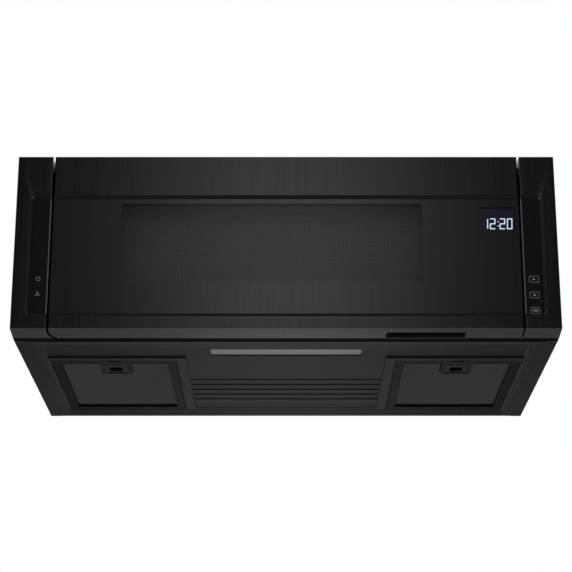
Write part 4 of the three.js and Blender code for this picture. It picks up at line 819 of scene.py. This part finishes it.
def level_bar(level):
    """A level bar of a digit, pointed at both ends."""
    tip = DIGIT_STROKE / 2
    centre = DIGIT_WIDTH / 2
    reach = centre - DIGIT_GAP
    shoulder = reach - DIGIT_TAPER
    return [
        (centre - reach, level),
        (centre - shoulder, level - tip),
        (centre + shoulder, level - tip),
        (centre + reach, level),
        (centre + shoulder, level + tip),
        (centre - shoulder, level + tip),
    ]


def upright_bar(across, base):
    """An upright bar of a digit, from its base at the foot or the middle, pointed at both ends."""
    tip = DIGIT_STROKE / 2
    low = base + DIGIT_GAP + (tip if base == 0.0 else 0.0)
    high = low + (DIGIT_HEIGHT - DIGIT_STROKE) / 2 - 2 * DIGIT_GAP
    return [
        (across, low),
        (across + tip, low + DIGIT_TAPER),
        (across + tip, high - DIGIT_TAPER),
        (across, high),
        (across - tip, high - DIGIT_TAPER),
        (across - tip, low + DIGIT_TAPER),
    ]


def digit_bars(character, left):
    """The lit bars of one digit, as slanted outlines."""
    tip = DIGIT_STROKE / 2
    middle = DIGIT_HEIGHT / 2
    right = DIGIT_WIDTH - tip
    levels = {0: DIGIT_HEIGHT - tip, 3: tip, 6: middle}
    uprights = {1: (right, middle), 2: (right, 0.0), 4: (tip, 0.0), 5: (tip, middle)}
    outlines = []
    for segment in SEGMENTS[character]:
        level = segment in levels
        points = level_bar(levels[segment]) if level else upright_bar(*uprights[segment])
        outlines.append([(left + x + (z - middle) * DIGIT_SLANT, DIGIT_FOOT + z) for x, z in points])
    return outlines


def time_outlines(centre):
    """The digits of the time and the colon between them."""
    outlines = []
    for character, place in TIME:
        outlines += digit_bars(character, centre + place * DIGIT_PITCH - TIME_INSET)
    colon = centre + COLON_PLACE * DIGIT_PITCH
    for share in COLON_LEVELS:
        slant = (share - 0.5) * DIGIT_HEIGHT * DIGIT_SLANT
        level = DIGIT_FOOT + DIGIT_HEIGHT * share
        outlines.append(bar((colon + slant, level), (DIGIT_STROKE, DIGIT_STROKE)))
    return outlines


def add_clock():
    """The lit time on the clock board, and the dim blue field behind it."""
    low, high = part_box("clock_board")
    centre = (low.x + high.x) / 2
    lit = glowing("lit_digits", (0.74, 0.86, 1.0), 2.6)
    dim = glowing("dim_blue_field", (0.010, 0.012, 0.045), 0.8)
    time = time_outlines(centre + TIME_SHIFT)
    digits = plate_mesh("clock_digits", time, low.y - 2 * MARK_THICKNESS, MARK_THICKNESS)
    add_object("clock_digits", digits, "door", lit)
    outline = bar((centre, FIELD_LEVEL), FIELD_SIZE)
    field = plate_mesh("clock_field", [outline], low.y - MARK_THICKNESS, MARK_THICKNESS)
    add_object("clock_field", field, "door", dim)


# ---- Filters ----


def quad(bm, corners):
    """A face that looks down."""
    face = bm.faces.new([bm.verts.new(corner) for corner in corners])
    face.normal_update()
    if face.normal.z > 0:
        face.normal_flip()


def add_strand(bm, start, end, side, level):
    """One flat strand, tilted about its length."""
    direction = (end - start).normalized()
    across = Vector((-direction.y, direction.x)) * STRAND_WIDTH / 2
    tilt = -STRAND_TILT * side
    upper = (start + across, end + across)
    lower = (end - across, start - across)
    corners = [(x, y, level + tilt) for x, y in upper] + [(x, y, level - tilt) for x, y in lower]
    quad(bm, corners)


def strand_lattice(bm, low, high, level, keep_out, flip):
    """One layer of expanded metal: rows of slanted strands that meet at knots."""
    across, along = STRAND_PITCH
    (left, front), (right, rear) = keep_out
    for row in range(int((high.y - low.y) / along)):
        for column in range(int((high.x - low.x) / across)):
            shift = 0.5 * across * ((row + flip) % 2)
            start = Vector((low.x + (column + 0.25) * across + shift, low.y + row * along))
            for side in (-1, 1):
                end = start + Vector((side * across / 2, along))
                middle = (start + end) / 2
                in_hole = left < middle.x < right and front < middle.y < rear
                inside = low.x < min(start.x, end.x) and max(start.x, end.x) < high.x
                if inside and not in_hole and end.y <= high.y:
                    add_strand(bm, start, end, side, level)


def add_strands(side, material):
    """Two layers of expanded metal, with room for the latch's housing."""
    node = side + "_filter_mesh"
    low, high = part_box(node)
    latch_low, latch_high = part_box(side + "_filter_latch")
    front_left = (latch_low.x - LATCH_MARGIN, low.y)
    rear_right = (latch_high.x + LATCH_MARGIN, latch_high.y + LATCH_MARGIN)
    bm = bmesh.new()
    for index, depth in enumerate(LAYER_DEPTHS):
        strand_lattice(bm, low, high, low.z + depth, (front_left, rear_right), index)
    name = node + "_strands"
    mesh = bpy.data.meshes.new(name)
    bm.to_mesh(mesh)
    bm.free()
    add_object(name, mesh, BODY_OF[node], material, replaces=(node,))


def add_core(side, material):
    """The dark core above the strands: the mesh's solid, pressed thin against its upper face."""
    node = side + "_filter_mesh"
    low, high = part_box(node)
    mesh = rounded_edges(frame["nodes"][node].data, FINE_BEVEL)
    squeeze = CORE_THICKNESS / (high.z - low.z)
    for vertex in mesh.vertices:
        vertex.co.z = high.z - (high.z - vertex.co.z) * squeeze
    add_object(node + "_core", mesh, BODY_OF[node], material)


# ---- Turntable tray ----


def tray_profile(low, high):
    """Half a section through the tray, from the axis round its rim and back."""
    radius = (high.x - low.x) / 2
    foot = low.z
    floor = foot + TRAY_GLASS
    points = [
        (0.0, foot),
        (radius - TRAY_RIM_SLOPE, foot),
        (radius, foot + TRAY_RIM_START),
        (radius, high.z),
        (radius - TRAY_GLASS, high.z),
        (radius - TRAY_GLASS - TRAY_INNER_SLOPE, floor),
        (0.0, floor),
    ]
    return rounded_profile(points, TRAY_ROUNDING)


def add_tray(material):
    """A smooth glass tray in place of its faceted solid."""
    node = "turntable_tray"
    low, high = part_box(node)
    centre = ((low.x + high.x) / 2, (low.y + high.y) / 2)
    mesh = lathe_mesh(node + "_fine", tray_profile(low, high), centre, TRAY_SIDES)
    add_object(node + "_fine", mesh, BODY_OF[node], material, replaces=(node,))


# ---- Studio ----


def add_camera():
    """The camera, at the place from which the photograph was taken."""
    camera = bpy.data.cameras.new("camera")
    camera.lens = CAMERA_LENS
    camera.sensor_width = 36.0
    camera.clip_start = 0.05
    camera.clip_end = 60.0
    holder = bpy.data.objects.new("camera", camera)
    holder.location = CAMERA_PLACE
    holder.rotation_euler = (math.radians(90 + CAMERA_RISE), 0, 0)
    bpy.context.scene.collection.objects.link(holder)
    bpy.context.scene.camera = holder


def add_lamp(name, place, target, size, brightness):
    """A soft lamp. Its power follows from its area and how bright its face looks."""
    lamp = bpy.data.lights.new(name, "AREA")
    lamp.shape = "RECTANGLE"
    lamp.size, lamp.size_y = size
    lamp.energy = brightness * math.pi * size[0] * size[1]
    holder = bpy.data.objects.new(name, lamp)
    holder.location = place
    holder.visible_camera = False
    direction = Vector(target) - Vector(place)
    holder.rotation_mode = "QUATERNION"
    holder.rotation_quaternion = direction.to_track_quat("-Z", "Y")
    bpy.context.scene.collection.objects.link(holder)


def add_world():
    """White behind the object, dimmer in front, so that the black faces keep their depth."""
    world = bpy.data.worlds.new("studio")
    bpy.context.scene.world = world
    world.use_nodes = True
    world.cycles.sampling_method = "NONE"
    tree = world.node_tree
    background = tree.nodes["Background"]
    rays = tree.nodes.new("ShaderNodeLightPath").outputs
    direction = tree.nodes.new("ShaderNodeTexCoord").outputs["Generated"]

    def value(kind, inputs, output=0, **settings):
        node = tree.nodes.new("ShaderNode" + kind)
        for name, setting in settings.items():
            setattr(node, name, setting)
        for index, item in inputs.items():
            if isinstance(item, bpy.types.NodeSocket):
                tree.links.new(item, node.inputs[index])
            else:
                node.inputs[index].default_value = item
        return node.outputs[output]

    depth = value("SeparateXYZ", {0: direction}, output="Y")
    behind = value("MapRange", {0: depth, 1: -0.3, 2: 0.3, 3: 0.0, 4: 1.0})
    gloss = value("Mix", {0: behind, 2: FRONT_REFLECTION, 3: 1.0})
    bounced = {0: rays["Is Glossy Ray"], 1: rays["Is Transmission Ray"]}
    mirrored = value("Math", bounced, operation="MAXIMUM")
    indirect = value("Mix", {0: mirrored, 2: AMBIENT, 3: gloss})
    strength = value("Mix", {0: rays["Is Camera Ray"], 2: indirect, 3: 1.0})
    tree.links.new(strength, background.inputs["Strength"])
    background.inputs["Color"].default_value = (1, 1, 1, 1)


def floor_material():
    """Pale grey that is see-through past its edge and from below."""
    paint = Paint("pale_floor", roughness=0.7)
    cloud = paint.even_noise(2.0)
    paint.set("Base Color", paint.blend(cloud, (0.43, 0.43, 0.43), (0.47, 0.47, 0.47)))
    reach = paint.node("VectorMath", {0: paint.place}, operation="LENGTH", output=1)
    faded = paint.spread(reach, 0.0, 1.0, *FLOOR_FADE)
    under = paint.node("NewGeometry", {}, output="Backfacing")
    hidden = paint.math("MAXIMUM", faded, under)
    clear = paint.node("BsdfTransparent", {})
    shown = paint.node("MixShader", {0: hidden, 1: paint.shader.outputs[0], 2: clear})
    paint.feed(paint.tree.nodes["Material Output"].inputs["Surface"], shown)
    return paint.material


def add_floor():
    """Plain pale floor that fades into the background, and lets a camera below it see past."""
    bm = bmesh.new()
    bmesh.ops.create_circle(bm, cap_ends=True, segments=96, radius=FLOOR_RADIUS)
    mesh = bpy.data.meshes.new("floor")
    bm.to_mesh(mesh)
    bm.free()
    mesh.materials.append(floor_material())
    floor = bpy.data.objects.new("floor", mesh)
    floor.location = (0, 0, FLOOR_Z)
    bpy.context.scene.collection.objects.link(floor)


# ---- Assembly ----

BODY_OF = {
    node: body for body, nodes in frame["record"]["behaviour"]["bodies"].items() for node in nodes
}
SLOT_OF = {part["node"]: part["material_slot"] for part in frame["record"]["subparts"]}

FINISHES = {
    "black_steel": black_steel,
    "black_paint": black_paint,
    "cavity_paint": cavity_paint,
    "zinc_steel": zinc_steel,
    "clear_glass": clear_glass,
    "black_plastic": black_plastic,
    "white_plastic": white_plastic,
    "grey_plastic": grey_plastic,
    "circuit_board": circuit_board,
    "filter_metal": filter_metal,
    "lamp_diffuser": lamp_diffuser,
    "mica": mica,
    "iron": iron,
    "aluminium": aluminium,
    "black_rubber": black_rubber,
}

# Nodes shown otherwise than as their solids with rounded edges
REPLACED = ("turntable_tray", "left_filter_mesh", "right_filter_mesh")

# Fine inner pieces, left with the solids' own edges
UNROUNDED = (
    "blower_housing",
    "left_blower_wheel",
    "right_blower_wheel",
    "cooling_fan_rotor",
    "magnetron",
    "power_board",
    "noise_filter",
)

# Pieces of thin sheet or with small features, rounded less
FINELY_ROUNDED = (
    "base_pan",
    "oven_cavity",
    "door_frame",
    "door_inner_panel",
    "door_screen",
    "door_choke_ring",
    "upper_hinge",
    "lower_hinge",
    "left_filter_frame",
    "right_filter_frame",
    "exhaust_frame",
    "damper_flap",
    "component_shelf",
    "waveguide",
    "waveguide_cover",
    "left_key_board",
    "right_key_board",
    "lamp_board",
)


def clear_zone(node, margin, clearness):
    """The part of the door's glass in front of a node, less a margin, and how clear it is there."""
    low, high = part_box(node)
    return ((low.x + margin, low.z + margin), (high.x - margin, high.z - margin), clearness)


def door_coating():
    """The door's glass, clear over the window and over the clock."""
    window = clear_zone("door_screen", WINDOW_MARGIN, WINDOW_CLEARNESS)
    clock = clear_zone("clock_board", CLOCK_MARGIN, CLOCK_CLEARNESS)
    return dark_glass("door_glass_coating", (0.0022, 0.0022, 0.0023), 0.26, 0.32, (window, clock))


def dress():
    """Gives every node its material, and most of them rounded edges. Returns each slot's material."""
    made = {slot: finish() for slot, finish in FINISHES.items()}
    key_glass = dark_glass("key_glass_coating", (0.001, 0.001, 0.0011), 0.16, 0.4)
    special = {
        "door_glass": door_coating(),
        "left_key_glass": key_glass,
        "right_key_glass": key_glass,
        "door_screen": screen_metal(),
        "base_pan": black_paint("satin_black_pan_paint", pan_creases()),
    }
    for node, slot in SLOT_OF.items():
        material = special.get(node) or made[slot]
        mesh = frame["nodes"][node].data
        mesh.materials.clear()
        mesh.materials.append(material)
        if node not in REPLACED + UNROUNDED:
            refine(node, material, FINE_BEVEL if node in FINELY_ROUNDED else BEVEL)
    return made


materials = dress()
add_tray(materials["clear_glass"])
add_key_marks()
add_glass_edge_highlights()
add_clock()
core_paint = satin_paint("dark_filter_core", (0.040, 0.040, 0.040), 0.7, 0.03, peel=400.0)
strand_paint = strand_metal()
for filter_side in ("left", "right"):
    add_strands(filter_side, strand_paint)
    add_core(filter_side, core_paint)

bpy.context.scene.view_settings.view_transform = "Standard"
add_camera()
add_world()
add_floor()
add_lamp("key_lamp", **KEY_LAMP)
add_lamp("low_lamp", **LOW_LAMP)
